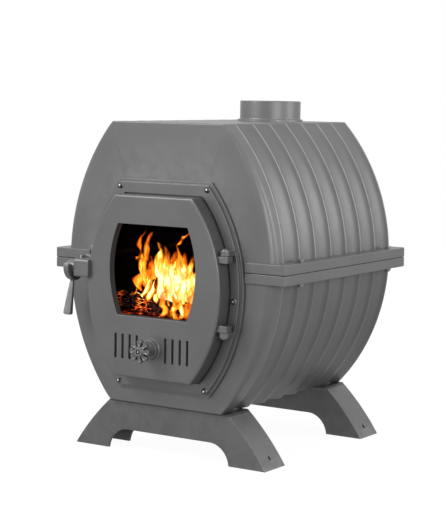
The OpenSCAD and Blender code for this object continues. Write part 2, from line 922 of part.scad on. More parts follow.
module door_frame() {
    color(cast_grey) placed() difference() {
        union() {
            along_y(-frame_seal_t - frame_rim_t, -frame_seal_t, door_z)
                barrel_2d(frame_mid_w, frame_flat_w, frame_h);
            along_y(-frame_proud, -frame_seal_t, door_z)
                barrel_2d(frame_mid_w, frame_flat_w, frame_h, frame_rim_w);
            ear(upper_lug_z + ear_shift);
            ear(lower_lug_z - ear_shift);
        }
        along_y(-frame_proud - eps, 0, door_z)
            barrel_2d(door_mid_w, door_flat_w, door_h, frame_lip);
        groove(-frame_proud - eps, -frame_proud + groove_t);
        frame_screw_holes();
        keeper_screw_holes();
        for (z = [upper_lug_z + ear_shift, lower_lug_z - ear_shift]) {
            translate([hinge_x, -hinge_y, z - ear_t])
                cylinder(r = pin_r, h = 2 * ear_t, $fn = mid_fn);
        }
    }
}

module frame_seal() {
    color(dark_seal) placed() difference() {
        along_y(-frame_seal_t, 0, door_z) barrel_2d(frame_mid_w, frame_flat_w, frame_h, set_back);
        along_y(-frame_seal_t - eps, eps, door_z)
            barrel_2d(door_mid_w, door_flat_w, door_h, frame_lip - set_back);
        frame_screw_holes();
    }
}

module frame_screws() {
    color(bright_steel) placed() at_frame_screws() {
        translate([0, -frame_proud, 0]) rotate([90, 0, 0]) round_head(screw_head_r, screw_head_h);
        rod_y(0, -frame_proud - eps, wall, 0, screw_r, small_fn);
    }
}

module door_rope() {
    color(dark_seal) placed() groove(-frame_proud, -frame_proud + groove_t, -run_gap / 2);
}

// One pin with its round head on the ear: up is +1 for the upper hinge
module hinge_pin(lug_z, up) {
    span = lug_t + run_gap + ear_t;
    translate([hinge_x, -hinge_y, lug_z - up * lug_t / 2])
        mirror([0, 0, up > 0 ? 0 : 1]) {
            cylinder(r = pin_r, h = span + eps, $fn = mid_fn);
            translate([0, 0, span]) round_head(pin_head_r, pin_head_h);
        }
}

module hinge_pins() {
    color(bright_steel) placed() {
        hinge_pin(upper_lug_z, 1);
        hinge_pin(lower_lug_z, -1);
    }
}

// ---- latch keeper ----

keeper_base_x = half_w(door_mid_w, door_flat_w, door_h, keeper_z - door_z) + keeper_gap;
keeper_end_x = latch_boss_x + run_gap + keeper_arm_t;
keeper_back = max(flange_front, frame_proud) + run_gap;
keeper_front = keeper_back + keeper_strap_t;

module at_keeper_screws() {
    for (i = [0, 1]) {
        translate([-keeper_base_x - keeper_base_w / 2, 0,
                   keeper_z + keeper_screw_z + i * keeper_screw_pitch]) children();
    }
}

module keeper_screw_holes() {
    at_keeper_screws() rod_y(0, -keeper_front - eps, -frame_seal_t - eps, 0, small_r, small_fn);
}

// Bar for the hook, an arm and a strap past the flange, and a base screwed to the frame
module latch_keeper() {
    bar_x = hook_x + hook_w / 2;
    color(bright_steel) placed() difference() {
        union() {
            rod_x(-bar_x, -keeper_end_x + keeper_arm_t, -keeper_y, keeper_z, keeper_r, small_fn);
            translate([-keeper_end_x, -keeper_y - keeper_r, keeper_z])
                cube([keeper_arm_t, keeper_y + keeper_r - keeper_back, keeper_arm_h]);
            translate([-keeper_end_x, -keeper_front, keeper_z])
                cube([keeper_end_x - keeper_base_x, keeper_strap_t, keeper_arm_h]);
            translate([-keeper_base_x - keeper_base_w, -keeper_front, keeper_z])
                cube([keeper_base_w, keeper_front - frame_proud, keeper_base_h]);
        }
        keeper_screw_holes();
    }
}

module keeper_screws() {
    color(bright_steel) placed() at_keeper_screws() {
        translate([0, -keeper_front, 0])
            rotate([90, 0, 0]) round_head(small_head_r, small_head_h);
        rod_y(0, -keeper_front - eps, -frame_seal_t - set_back, 0, small_r, small_fn);
    }
}

// ---- inside ----

module grate() {
    half = inner_half(grate_z - grate_t) - plate_gap;
    depth = body_depth - 2 * wall - 2 * inner_gap;
    cross_bar = 2 * grate_bar;
    row = (depth - 3 * cross_bar) / 2;
    pitch = grate_bar + grate_slot;
    color(fire_black) placed() translate([0, wall + inner_gap, grate_z - grate_t]) difference() {
        translate([-half, 0, 0]) cube([2 * half, depth, grate_t]);
        for (i = [0 : grate_slots - 1], j = [0, 1]) {
            translate([(i - (grate_slots - 1) / 2) * pitch - grate_slot / 2,
                       cross_bar + j * (row + cross_bar), -eps])
                cube([grate_slot, row, grate_t + 2 * eps]);
        }
    }
}

// Open tray that stands on the heads of the leg bolts
module ash_pan() {
    half = inner_half(floor_z) - pan_gap;
    depth = body_depth - 2 * wall - 2 * pan_end_gap;
    bottom = floor_z + bolt_head_h;
    color(fire_black) placed() translate([-half, wall + pan_end_gap, bottom]) difference() {
        cube([2 * half, depth, pan_h]);
        translate([pan_t, pan_t, pan_t]) cube([2 * half - 2 * pan_t, depth - 2 * pan_t, pan_h]);
    }
}

module baffle_plate() {
    half = inner_half(baffle_z + baffle_t) - plate_gap;
    color(fire_black) placed()
        translate([-half, baffle_gap, baffle_z])
            cube([2 * half, body_depth - wall - plate_gap - baffle_gap, baffle_t]);
}

// ---- door ----

module window_2d(grow = 0) {
    barrel_2d(window_mid_w, window_flat_w, window_h, -grow);
}

// Clip places: left and right of the window, high and low
clip_x = half_w(window_mid_w, window_flat_w, window_h, clip_dz) + glass_lap + clip_out;

module at_clips() {
    for (sx = [-1, 1], sz = [-1, 1]) {
        translate([sx * clip_x, 0, window_z + sz * clip_dz]) mirror([sx > 0 ? 1 : 0, 0, 0]) children();
    }
}

module at_slots() {
    for (s = [-1, 1], i = [0 : slot_count - 1]) {
        translate([s * (slot_first + i * slot_pitch), 0, 0]) children();
    }
}

module slot_2d() {
    square([slot_w, slot_h - slot_w], center = true);
    for (s = [-1, 1]) {
        translate([0, s * (slot_h - slot_w) / 2]) circle(d = slot_w, $fn = small_fn);
    }
}

// Square lug with a rounded outer end, reaching from the door's wall to the hinge axis
module door_lug(z) {
    inside = hinge_x - half_w(door_mid_w, door_flat_w, door_h, z - door_z) + door_wall / 2;
    translate([hinge_x, -hinge_y, z - lug_t / 2]) {
        translate([-inside, -lug_r, 0]) cube([inside + lug_r - lug_round, 2 * lug_r, lug_t]);
        translate([-inside, -lug_r + lug_round, 0])
            cube([inside + lug_r, 2 * (lug_r - lug_round), lug_t]);
        for (s = [-1, 1]) {
            translate([lug_r - lug_round, s * (lug_r - lug_round), 0])
                cylinder(r = lug_round, h = lug_t, $fn = small_fn);
        }
    }
}

latch_inner_x = half_w(door_mid_w, door_flat_w, door_h, latch_z - door_z) - door_wall;

module door() {
    color(cast_grey) placed() difference() {
        union() {
            difference() {
                barrel_block(door_mid_w, door_flat_w, door_h, -door_proud, -door_back, door_round,
                             door_z);
                along_y(-door_inner, 0, door_z)
                    barrel_2d(door_mid_w, door_flat_w, door_h, door_wall);
            }
            along_y(-door_inner - eps, -seal_front, window_z) window_2d(reveal_wall);
            along_y(-seal_front - reveal_wall, -seal_front, window_z) window_2d(glass_lap);
            door_lug(upper_lug_z);
            door_lug(lower_lug_z);
            rod_x(-latch_boss_x, -latch_inner_x, -latch_y, latch_z, latch_boss_r);
            rod_y(0, -air_boss_front, -door_inner, air_z, air_boss_r);
            at_clips() rod_y(0, -door_inner - eps, -glass_back, 0, small_head_r + boss_rim,
                             small_fn);
        }
        along_y(-door_proud - eps, 0, window_z) window_2d();
        along_y(-door_proud - eps, 0, air_z) at_slots() slot_2d();
        rod_x(-latch_boss_x - eps, -latch_boss_x + pivot_bite, -latch_y, latch_z, pivot_r);
        rod_y(0, -air_boss_front - eps, 0, air_z, spindle_r + pin_clear);
        rod_y(0, -thrust_front, 0, air_z, thrust_r + thrust_room);
        for (s = [-1, 1]) {
            rod_y(s * guide_x, -door_inner - blind_t, 0, air_z, guide_r, small_fn);
        }
        at_clips() rod_y(0, -door_inner - blind_t, 0, 0, small_r, small_fn);
        for (z = [upper_lug_z, lower_lug_z]) {
            translate([hinge_x, -hinge_y, z - lug_t])
                cylinder(r = pin_r + pin_clear, h = 2 * lug_t, $fn = mid_fn);
        }
    }
}

module window_glass() {
    color(glass_tint) placed() along_y(-glass_front, -glass_back, window_z) window_2d(glass_lap);
}

module glass_seal() {
    color(dark_seal) placed() difference() {
        along_y(-seal_front, -glass_front, window_z) window_2d(glass_lap);
        along_y(-seal_front - eps, -glass_front + eps, window_z) window_2d(glass_seal_in);
    }
}

// Flat clips: held on a boss beside the glass, pressing on its edge
module glass_clips() {
    reach = clip_out + glass_lap / 2;
    color(bright_steel) placed() at_clips() difference() {
        translate([-small_head_r, -glass_back, -clip_w / 2])
            cube([reach + small_head_r, clip_t, clip_w]);
        rod_y(0, -glass_back - eps, -glass_back + clip_t + eps, 0, small_r + pin_clear, small_fn);
    }
}

module clip_screws() {
    seat = -glass_back + clip_t;
    color(bright_steel) placed() at_clips() {
        translate([0, seat, 0]) rotate([-90, 0, 0]) round_head(small_head_r, small_head_h);
        rod_y(0, -door_inner - blind_t, seat + eps, 0, small_r, small_fn);
    }
}

// ---- latch ----

module latch_pivot() {
    head_x = hook_x + latch_hub_w / 2 + run_gap;
    color(bright_steel) placed() {
        translate([-head_x, -latch_y, latch_z])
            rotate([0, -90, 0]) round_head(pivot_head_r, pivot_head_h);
        rod_x(-head_x - eps, -latch_boss_x + pivot_bite, -latch_y, latch_z, pivot_r);
    }
}

// Wedge from angle a to angle b about the latch axis, drawn in Y (toward the stove) and Z
module wedge_2d(a, b) {
    steps = 4;
    reach = 2 * hook_out_r;
    polygon(concat([[0, 0]], [for (i = [0 : steps])
        reach * [cos(a + (b - a) * i / steps), sin(a + (b - a) * i / steps)]]));
}

// Angle of the hook's nose, just below the keeper's bar
hook_tip = asin((keeper_dist * sin(keeper_angle) - keeper_r - hook_gap) / hook_out_r);

module hook_2d() {
    difference() {
        circle(r = hook_out_r, $fn = mid_fn);
        circle(r = hook_in_r, $fn = mid_fn);
        wedge_2d(hook_tip, hook_back);
    }
    intersection() {
        circle(r = hook_in_r + eps, $fn = mid_fn);
        wedge_2d(hook_back, web_end);
    }
}

module at_handle() {
    translate([-hook_x, -latch_y, latch_z])
        rotate([0, handle_lean, 0])
            translate([0, 0, -hook_out_r]) children();
}

module latch_hook() {
    color(cast_grey) placed() difference() {
        union() {
            rod_x(-hook_x - latch_hub_w / 2, -hook_x + latch_hub_w / 2, -latch_y, latch_z,
                  latch_hub_r);
            translate([-hook_x - hook_w / 2, -latch_y, latch_z])
                rotate([90, 0, 90]) linear_extrude(height = hook_w) hook_2d();
            at_handle() translate([0, 0, -handle_gap])
                cylinder(r = handle_top_r, h = handle_gap + hook_t / 2, $fn = small_fn);
            at_handle() translate([0, 0, -handle_gap - stud_len])
                cylinder(r = stud_r, h = stud_len + eps, $fn = small_fn);
        }
        rod_x(-hook_x - latch_hub_w, -hook_x + latch_hub_w, -latch_y, latch_z, pivot_r + pin_clear);
    }
}

module latch_handle() {
    color(bright_steel) placed() at_handle() translate([0, 0, -handle_gap]) difference() {
        translate([0, 0, -handle_len])
            cylinder(r1 = handle_end_r, r2 = handle_top_r, h = handle_len, $fn = small_fn);
        translate([0, 0, -stud_len]) cylinder(r = stud_r, h = stud_len + eps, $fn = small_fn);
    }
}

// ---- air control ----

module shutter_guides() {
    color(bright_steel) placed() for (s = [-1, 1]) {
        rod_y(s * guide_x, -door_inner - blind_t,
              -shutter_front + shutter_t + shutter_travel + shutter_end, air_z, guide_r, small_fn);
    }
}

module air_shutter() {
    color(fire_black) placed() difference() {
        union() {
            along_y(-shutter_front, -shutter_front + shutter_t, air_z)
                square([shutter_w, shutter_h], center = true);
            rod_y(0, -shutter_front, -shutter_front + shutter_t + shutter_nut_t, air_z, shutter_nut_r);
        }
        rod_y(0, -shutter_front - eps, 0, air_z, spindle_r + pin_clear);
        for (s = [-1, 1]) {
            rod_y(s * guide_x, -shutter_front - eps, 0, air_z, guide_r + pin_clear, small_fn);
        }
    }
}

module air_spindle() {
    inner_end = -shutter_front + shutter_t + shutter_nut_t + shutter_travel + shutter_end;
    color(bright_steel) placed() difference() {
        union() {
            rod_y(0, spindle_front, inner_end, air_z, spindle_r);
            rod_y(0, -thrust_front + run_gap, -thrust_front + run_gap + thrust_t, air_z, thrust_r);
        }
        rod_y(0, spindle_front - eps, spindle_front + knob_bite, air_z, small_r, small_fn);
    }
}

// Petal-shaped knob: grooves between the petals and a notch at the end of each groove
module air_knob() {
    face = knob_front + knob_rise;
    color(cast_grey) placed() difference() {
        union() {
            rod_y(0, face, face + knob_t, air_z, knob_r);
            rod_y(0, knob_front, -air_boss_front - run_gap, air_z, knob_neck_r);
        }
        for (i = [0 : knob_lobes - 1]) {
            translate([0, face, air_z]) rotate([0, i * 360 / knob_lobes, 0]) {
                rod_x(knob_neck_r, knob_r + notch_r, 0, 0, petal_r, small_fn);
                rod_y(knob_r + petal_r / 2, -eps, knob_t + eps, 0, notch_r, small_fn);
            }
        }
        rod_y(0, knob_front - eps, knob_front + knob_seat, air_z, small_head_r + boss_rim, small_fn);
        rod_y(0, knob_front, 0, air_z, small_r, small_fn);
        rod_y(0, spindle_front, 0, air_z, spindle_r);
    }
}

module knob_screw() {
    seat = knob_front + knob_seat;
    color(bright_steel) placed() {
        translate([0, seat, air_z]) rotate([90, 0, 0]) round_head(small_head_r, small_head_h);
        rod_y(0, seat - eps, spindle_front + knob_bite, air_z, small_r, small_fn);
    }
}

upper_shell();
lower_shell();
flange_seal();
flange_bolts();
flange_nuts();
flue_collar();
flue_collar_seal();
flue_collar_bolts();
front_leg();
rear_leg();
leg_bolts();
leg_nuts();
door_frame();
frame_seal();
frame_screws();
door_rope();
hinge_pins();
latch_keeper();
keeper_screws();
grate();
ash_pan();
baffle_plate();
door();
window_glass();
glass_seal();
glass_clips();
clip_screws();
shutter_guides();
latch_pivot();
latch_hook();
latch_handle();
air_knob();
air_spindle();
knob_screw();
air_shutter();
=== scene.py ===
import json
import math
from functools import partial

import bmesh
import bpy
import numpy as np
from mathutils import Matrix, Vector, noise
from mathutils.geometry import tessellate_polygon

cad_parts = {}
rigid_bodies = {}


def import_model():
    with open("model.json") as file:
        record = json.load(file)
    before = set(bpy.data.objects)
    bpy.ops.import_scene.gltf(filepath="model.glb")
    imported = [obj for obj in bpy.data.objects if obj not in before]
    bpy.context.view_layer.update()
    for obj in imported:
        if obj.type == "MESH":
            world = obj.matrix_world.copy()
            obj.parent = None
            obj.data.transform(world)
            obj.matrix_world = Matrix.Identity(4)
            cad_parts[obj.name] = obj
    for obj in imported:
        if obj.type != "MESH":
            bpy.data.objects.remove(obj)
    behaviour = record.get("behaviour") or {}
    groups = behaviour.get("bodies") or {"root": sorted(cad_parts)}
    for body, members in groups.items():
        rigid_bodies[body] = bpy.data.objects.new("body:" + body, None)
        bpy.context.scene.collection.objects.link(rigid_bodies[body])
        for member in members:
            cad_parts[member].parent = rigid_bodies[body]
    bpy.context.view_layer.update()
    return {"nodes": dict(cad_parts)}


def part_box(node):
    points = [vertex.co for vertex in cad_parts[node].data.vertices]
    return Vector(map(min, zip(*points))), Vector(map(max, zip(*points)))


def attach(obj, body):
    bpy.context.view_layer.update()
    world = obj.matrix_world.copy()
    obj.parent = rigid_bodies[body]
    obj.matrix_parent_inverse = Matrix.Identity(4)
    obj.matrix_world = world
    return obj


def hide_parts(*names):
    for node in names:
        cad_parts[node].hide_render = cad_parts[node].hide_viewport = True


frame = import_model()

# Sizes of the stove in millimetres. y runs from the front face of the body to the rear, z from the floor.
MM = 0.001
# Depth of the middle of the whole stove, where the frame's origin lies
MID_Y = 200.5
# Barrel outlines: width in the middle, width of the flat at top and bottom, height
BODY = (500.0, 270.0, 566.0)
FRAME = (374.0, 217.0, 422.0)
DOOR = (318.0, 184.0, 362.0)
WINDOW = (206.0, 166.0, 182.0)
DEPTH, HEIGHT, WALL = 472.0, BODY[2], 8.0
LEG_H, LEG_DEPTH, LEG_INSET = 103.0, 76.0, 12.0
LEG_PLACES = (LEG_INSET, DEPTH - LEG_DEPTH)
SPLIT, TOP = LEG_H + HEIGHT / 2, LEG_H + HEIGHT
RIBS, FRONT_BAND, RIB_RISE, RIB_DRAW, BOTTOM_RISE = 7, 40.0, 6.0, 7.0, 5.0
RIB_PITCH = (DEPTH - FRONT_BAND) / RIBS
FRONT_ROUND, CREST_ROUND, ROOT_ROUND, EDGE_EASE = 20.0, 3.2, 2.0, 2.4
FLANGE_T, FLANGE_X, FLANGE_Y0, FLANGE_Y1, FLANGE_ROUND = 19.0, 278.0, -4.0, 492.0, 9.0
SEAL_HALF, GAP = 1.0, 0.3
DOOR_Z, FRAME_PROUD, DOOR_PROUD, DOOR_BACK, DOOR_WALL = 345.0, 12.0, 48.0, 12.3, 7.0
WINDOW_Z, AIR_Z, LATCH_Z, LATCH_Y = 378.0, 225.0, 374.0, -39.0
COLLAR_Y, COLLAR_FOOT, NECK_HOLE_R = 382.0, 653.0, 67.06
HINGE_X, HINGE_Y, HINGE_OFF, LUG_T, EAR_T = 160.0, -30.0, 66.5, 13.0, 11.0
EAR_OFF = HINGE_OFF + LUG_T / 2 + GAP + EAR_T / 2
GRATE_Z, GRATE_T, BAFFLE_Z, CLIP_Z = 274.0, 12.0, 540.0, 69.0


def metres(point):
    """A place in the stove's millimetres, told in metres from the frame's origin."""
    return point[0] * MM, (point[1] - MID_Y) * MM, point[2] * MM


# ---- meshes ----

def linked(name, data):
    """A new object in the scene."""
    obj = bpy.data.objects.new(name, data)
    bpy.context.scene.collection.objects.link(obj)
    return obj


def draft(mesh):
    """An object for modifiers to work on."""
    return linked(mesh.name, mesh)


def worked_in(obj):
    """The plain mesh of a draft with its modifiers worked in. The draft is removed."""
    deps = bpy.context.evaluated_depsgraph_get()
    done = obj.evaluated_get(deps)
    mesh = bpy.data.meshes.new_from_object(done, preserve_all_data_layers=True, depsgraph=deps)
    obj.modifiers.clear()
    bpy.data.objects.remove(obj)
    return mesh


def mesh_of(name, points, faces, edges=()):
    mesh = bpy.data.meshes.new(name)
    mesh.from_pydata([metres(p) for p in points], edges, faces)
    mesh.validate()
    return mesh


def told(mesh, label, values, vectors=False):
    """Stores a number or a vector for each point of a mesh."""
    store = mesh.attributes.new(label, "FLOAT_VECTOR" if vectors else "FLOAT", "POINT")
    store.data.foreach_set("vector" if vectors else "value", np.array(values, np.float32).ravel())


def grid(rows, columns, first=0, closed=False):
    """Faces between rows of points. Closed rows join their last point to their first."""
    faces = []
    for i in range(rows - 1):
        here, there = first + i * columns, first + (i + 1) * columns
        for k in range(columns if closed else columns - 1):
            n = (k + 1) % columns
            faces.append((here + k, here + n, there + n, there + k))
    return faces


def shaded(mesh, angle=40):
    """Smooth shading that breaks at edges sharper than the angle."""
    mesh.shade_smooth()
    mesh.set_sharp_from_angle(angle=math.radians(angle))
    return mesh


def evened(mesh, angle=40):
    """Smooth shading whose normals follow the larger faces, as on a real rounded edge."""
    obj = draft(shaded(mesh, angle))
    obj.modifiers.new("normals", "WEIGHTED_NORMAL").keep_sharp = True
    return worked_in(obj)


def piece(name, mesh, material, body, slot, *nodes):
    """A finished piece of the stove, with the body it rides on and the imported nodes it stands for."""
    obj = linked(name, mesh)
    mesh.materials.clear()
    mesh.materials.append(material)
    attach(obj, body)
    if nodes:
        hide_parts(*nodes)


def joined(name, meshes):
    """One mesh from several."""
    whole = bmesh.new()
    for mesh in meshes:
        whole.from_mesh(mesh)
    mesh = bpy.data.meshes.new(name)
    whole.to_mesh(mesh)
    whole.free()
    return mesh


def cleaned(mesh, recalc=True, near=1e-6):
    """Merges doubled points, and turns all faces outward unless recalc is off."""
    bm = bmesh.new()
    bm.from_mesh(mesh)
    bmesh.ops.remove_doubles(bm, verts=bm.verts, dist=near)
    if recalc:
        bmesh.ops.recalc_face_normals(bm, faces=bm.faces)
    bm.to_mesh(mesh)
    bm.free()
    return mesh


def eased(mesh, width, segments=2):
    """Rounds the edges of a casting, as its mould and the paint leave them."""
    obj = draft(mesh)
    bevel = obj.modifiers.new("edges", "BEVEL")
    bevel.width, bevel.segments = width * MM, segments
    bevel.limit_method, bevel.angle_limit = "ANGLE", math.radians(30)
    bevel.use_clamp_overlap, bevel.miter_outer = False, "MITER_ARC"
    return evened(worked_in(obj))


def casting_of(node, width):
    """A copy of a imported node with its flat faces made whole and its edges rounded."""
    bm = bmesh.new()
    bm.from_mesh(frame["nodes"][node].data)
    bmesh.ops.remove_doubles(bm, verts=bm.verts, dist=2e-6)
    bmesh.ops.dissolve_limit(bm, angle_limit=math.radians(0.4), verts=bm.verts, edges=bm.edges)
    mesh = bpy.data.meshes.new(node + "_casting")
    bm.to_mesh(mesh)
    bm.free()
    return eased(mesh, width)


def bored(mesh, cutter):
    """The mesh with the cutter's space taken out."""
    obj, tool = draft(mesh), draft(cutter)
    cut = obj.modifiers.new("bore", "BOOLEAN")
    cut.operation, cut.solver, cut.object = "DIFFERENCE", "EXACT", tool
    done = worked_in(obj)
    bpy.data.objects.remove(tool)
    return done


def turned(name, profile, centre, axis="Z", around=96, ring=False):
    """A turned shape from points (radius, distance along its axis), closed at radius 0 or as a ring."""
    if ring:
        profile = profile + profile[:1]
    points = []
    for r, s in profile:
        for k in range(around):
            a = 2 * math.pi * k / around
            u, v = r * math.cos(a), r * math.sin(a)
            place = (u, v, s) if axis == "Z" else (v, s, u)
            points.append(tuple(c + p for c, p in zip(centre, place)))
    return cleaned(mesh_of(name, points, grid(len(profile), around, closed=True)))


def rounded(profile, corners, steps=4):
    """Rounds chosen corners of a profile: corners maps a point's number to its radius."""
    out = []
    for i, p in enumerate(profile):
        if i not in corners:
            out.append(p)
            continue
        here, before, after = Vector(p), Vector(profile[i - 1]), Vector(profile[(i + 1) % len(profile)])
        a = here + (before - here).normalized() * corners[i]
        b = here + (after - here).normalized() * corners[i]
        for k in range(steps + 1):
            t = k / steps
            out.append(tuple(a * (1 - t) ** 2 + here * 2 * t * (1 - t) + b * t * t))
    return out


def plate(name, outline, low, high, axis="Z"):
    """A flat plate between two levels of an axis, from its outline in the other two directions."""
    n = len(outline)
    points = [(u, v, w) if axis == "Z" else (w, u, v) for w in (low, high) for u, v in outline]
    faces = [tuple(range(n - 1, -1, -1)), tuple(range(n, 2 * n))]
    return cleaned(mesh_of(name, points, faces + grid(2, n, closed=True)))


def block(name, low, high):
    """A box between two corners."""
    (x0, y0, z0), (x1, y1, z1) = low, high
    return plate(name, [(x0, y0), (x1, y0), (x1, y1), (x0, y1)], z0, z1)


# ---- outlines ----

def bow(mid, flat, height):
    """Radius of a bowed side, and how far its centre lies beyond the middle."""
    s = (mid - flat) / 2
    r = (height * height / 4 + s * s) / (2 * s)
    return r, r - mid / 2


BODY_R, BODY_CX = bow(*BODY)
DOOR_R, DOOR_CX = bow(*DOOR)


def barrel_loop(sizes, side_steps, flat_steps, inset):
    """Points x, z of a barrel outline about its own middle, counter-clockwise."""
    r, cx = bow(*sizes)
    r -= inset
    top = sizes[2] / 2 - inset
    turn = math.asin(top / r)
    right = [(r * math.cos(t) - cx, r * math.sin(t)) for t in np.linspace(-turn, turn, side_steps + 1)]
    corner = right[-1][0]
    across = [(corner - 2 * corner * k / flat_steps, top) for k in range(1, flat_steps)]
    return right + across + [(-x, -z) for x, z in right + across]


frame_loop = partial(barrel_loop, FRAME, 40, 12)
door_loop = partial(barrel_loop, DOOR, 40, 12)
window_loop = partial(barrel_loop, WINDOW, 30, 10)


# ---- node trees ----

class Nodes:
    """Short ways to build a node tree. A number and another node's output feed a socket alike."""

    def __init__(self, tree):
        self.tree = tree

    def feed(self, socket, value):
        if isinstance(value, bpy.types.NodeSocket):
            self.tree.links.new(value, socket)
        else:
            socket.default_value = value

    def node(self, kind, inputs=None, **settings):
        node = self.tree.nodes.new(kind)
        for key, value in settings.items():
            setattr(node, key, value)
        for key, value in (inputs or {}).items():
            self.feed(node.inputs[key], value)
        return node

    def calc(self, operation, *values):
        return self.node("ShaderNodeMath", dict(enumerate(values)), operation=operation).outputs[0]

    def plus(self, a, b):
        return self.calc("ADD", a, b)

    def less(self, a, b):
        return self.calc("SUBTRACT", a, b)

    def power(self, a, b):
        return self.calc("POWER", a, b)

    def larger(self, a, b):
        return self.calc("MAXIMUM", a, b)

    def times(self, value, *others):
        for other in others:
            value = self.calc("MULTIPLY", value, other)
        return value

    def length(self, a, b):
        return self.calc("SQRT", self.plus(self.power(a, 2.0), self.power(b, 2.0)))

    def parts(self, vector):
        return self.node("ShaderNodeSeparateXYZ", {0: vector}).outputs

    def vector(self, *parts):
        return self.node("ShaderNodeCombineXYZ", dict(enumerate(parts))).outputs[0]

    def spread(self, value, low, high, to_low=0.0, to_high=1.0, kind="LINEAR"):
        """The value's run from low to high, laid over another run and held at its ends."""
        return self.node("ShaderNodeMapRange", {
            "Value": value, "From Min": low, "From Max": high, "To Min": to_low, "To Max": to_high},
            interpolation_type=kind).outputs[0]


class Shape(Nodes):
    """A Geometry Nodes tree with named inputs: lengths, counts and a material."""

    def __init__(self, name, lengths, counts=()):
        super().__init__(bpy.data.node_groups.new(name, "GeometryNodeTree"))
        face = self.tree.interface
        face.new_socket("Geometry", in_out="INPUT", socket_type="NodeSocketGeometry")
        kinds = [(label, "Float") for label in lengths] + [(label, "Int") for label in counts]
        self.ids = {label: face.new_socket(label, in_out="INPUT", socket_type="NodeSocket" + kind).identifier
                    for label, kind in kinds + [("Material", "Material")]}
        face.new_socket("Geometry", in_out="OUTPUT", socket_type="NodeSocketGeometry")
        self.given = self.tree.nodes.new("NodeGroupInput").outputs
        self.out = self.tree.nodes.new("NodeGroupOutput").inputs["Geometry"]

    def scaled(self, vector, factor):
        return self.node("ShaderNodeVectorMath", {0: vector, "Scale": factor}, operation="SCALE").outputs[0]

    def attribute(self, name, kind="FLOAT"):
        return self.node("GeometryNodeInputNamedAttribute", {"Name": name}, data_type=kind).outputs[0]

    def kept(self, geometry, name, value, kind="FLOAT"):
        """The geometry with a value stored at each of its points."""
        return self.node("GeometryNodeStoreNamedAttribute", {
            "Geometry": geometry, "Name": name, "Value": value}, data_type=kind, domain="POINT").outputs[0]

    def position(self):
        return self.node("GeometryNodeInputPosition").outputs[0]

    def set_at(self, geometry, place):
        return self.node("GeometryNodeSetPosition", {"Geometry": geometry, "Position": place}).outputs[0]

    def moved(self, geometry, offset):
        return self.node("GeometryNodeSetPosition", {"Geometry": geometry, "Offset": offset}).outputs[0]

    def on_points(self, points, instance, way, axis):
        """Copies set on points, each with its axis turned to its point's way."""
        turn = self.node("FunctionNodeAlignRotationToVector", {"Vector": way}, axis=axis)
        return self.node("GeometryNodeInstanceOnPoints", {
            "Points": points, "Instance": instance, "Rotation": turn.outputs[0]}).outputs[0]

    def end(self, geometry):
        """Realize Instances and Set Material close every tree."""
        real = self.node("GeometryNodeRealizeInstances", {0: geometry}).outputs[0]
        paint = self.node("GeometryNodeSetMaterial", {"Geometry": real, "Material": self.given["Material"]})
        self.feed(self.out, paint.outputs[0])
        return self

    def applied(self, mesh, **inputs):
        """Works the tree on a mesh, with the given inputs, and returns the plain mesh."""
        obj = draft(mesh)
        modifier = obj.modifiers.new(self.tree.name, "NODES")
        modifier.node_group = self.tree
        for label, value in inputs.items():
            modifier[self.ids[label.replace("_", " ")]] = value
        return worked_in(obj)


def quarter_fall(s, radius, distance):
    """How far a rounded edge has fallen at a distance from its end."""
    inside = s.larger(s.less(radius, distance), 0.0)
    return s.less(radius, s.calc("SQRT", s.less(s.power(radius, 2.0), s.power(inside, 2.0))))


def rib_shape():
    """Ribs across the barrel: each swells toward the rear and steps back in to the next."""
    s = Shape("Barrel ribs", ("Rib Pitch", "Front Band", "Rib Rise", "Crest Round", "Root Round",
                              "Front Round", "Bottom Rise"))
    given, along = s.given, s.attribute("along")
    behind = s.less(along, given["Front Band"])
    on_rib = s.calc("GREATER_THAN", behind, 0.0)
    local = s.calc("FLOORED_MODULO", behind, given["Rib Pitch"])
    share = s.calc("DIVIDE", local, given["Rib Pitch"])
    swell = s.spread(share, 0.12, 0.84, given["Rib Rise"], 0.0, "SMOOTHSTEP")
    crest = quarter_fall(s, given["Crest Round"], s.less(given["Rib Pitch"], local))
    root = quarter_fall(s, given["Root Round"], local)
    front = quarter_fall(s, s.times(given["Front Round"], s.attribute("front_share")), along)
    side = s.plus(s.times(on_rib, s.less(swell, root)), s.plus(crest, front))
    step = s.times(given["Bottom Rise"], s.less(1.0, share))
    under = s.plus(s.times(on_rib, s.less(step, root)), crest)
    offset = s.node("ShaderNodeVectorMath", {
        0: s.scaled(s.attribute("draw_side", "FLOAT_VECTOR"), side),
        1: s.scaled(s.attribute("draw_flat", "FLOAT_VECTOR"), under)}, operation="ADD").outputs[0]
    return s.end(s.moved(given["Geometry"], offset))


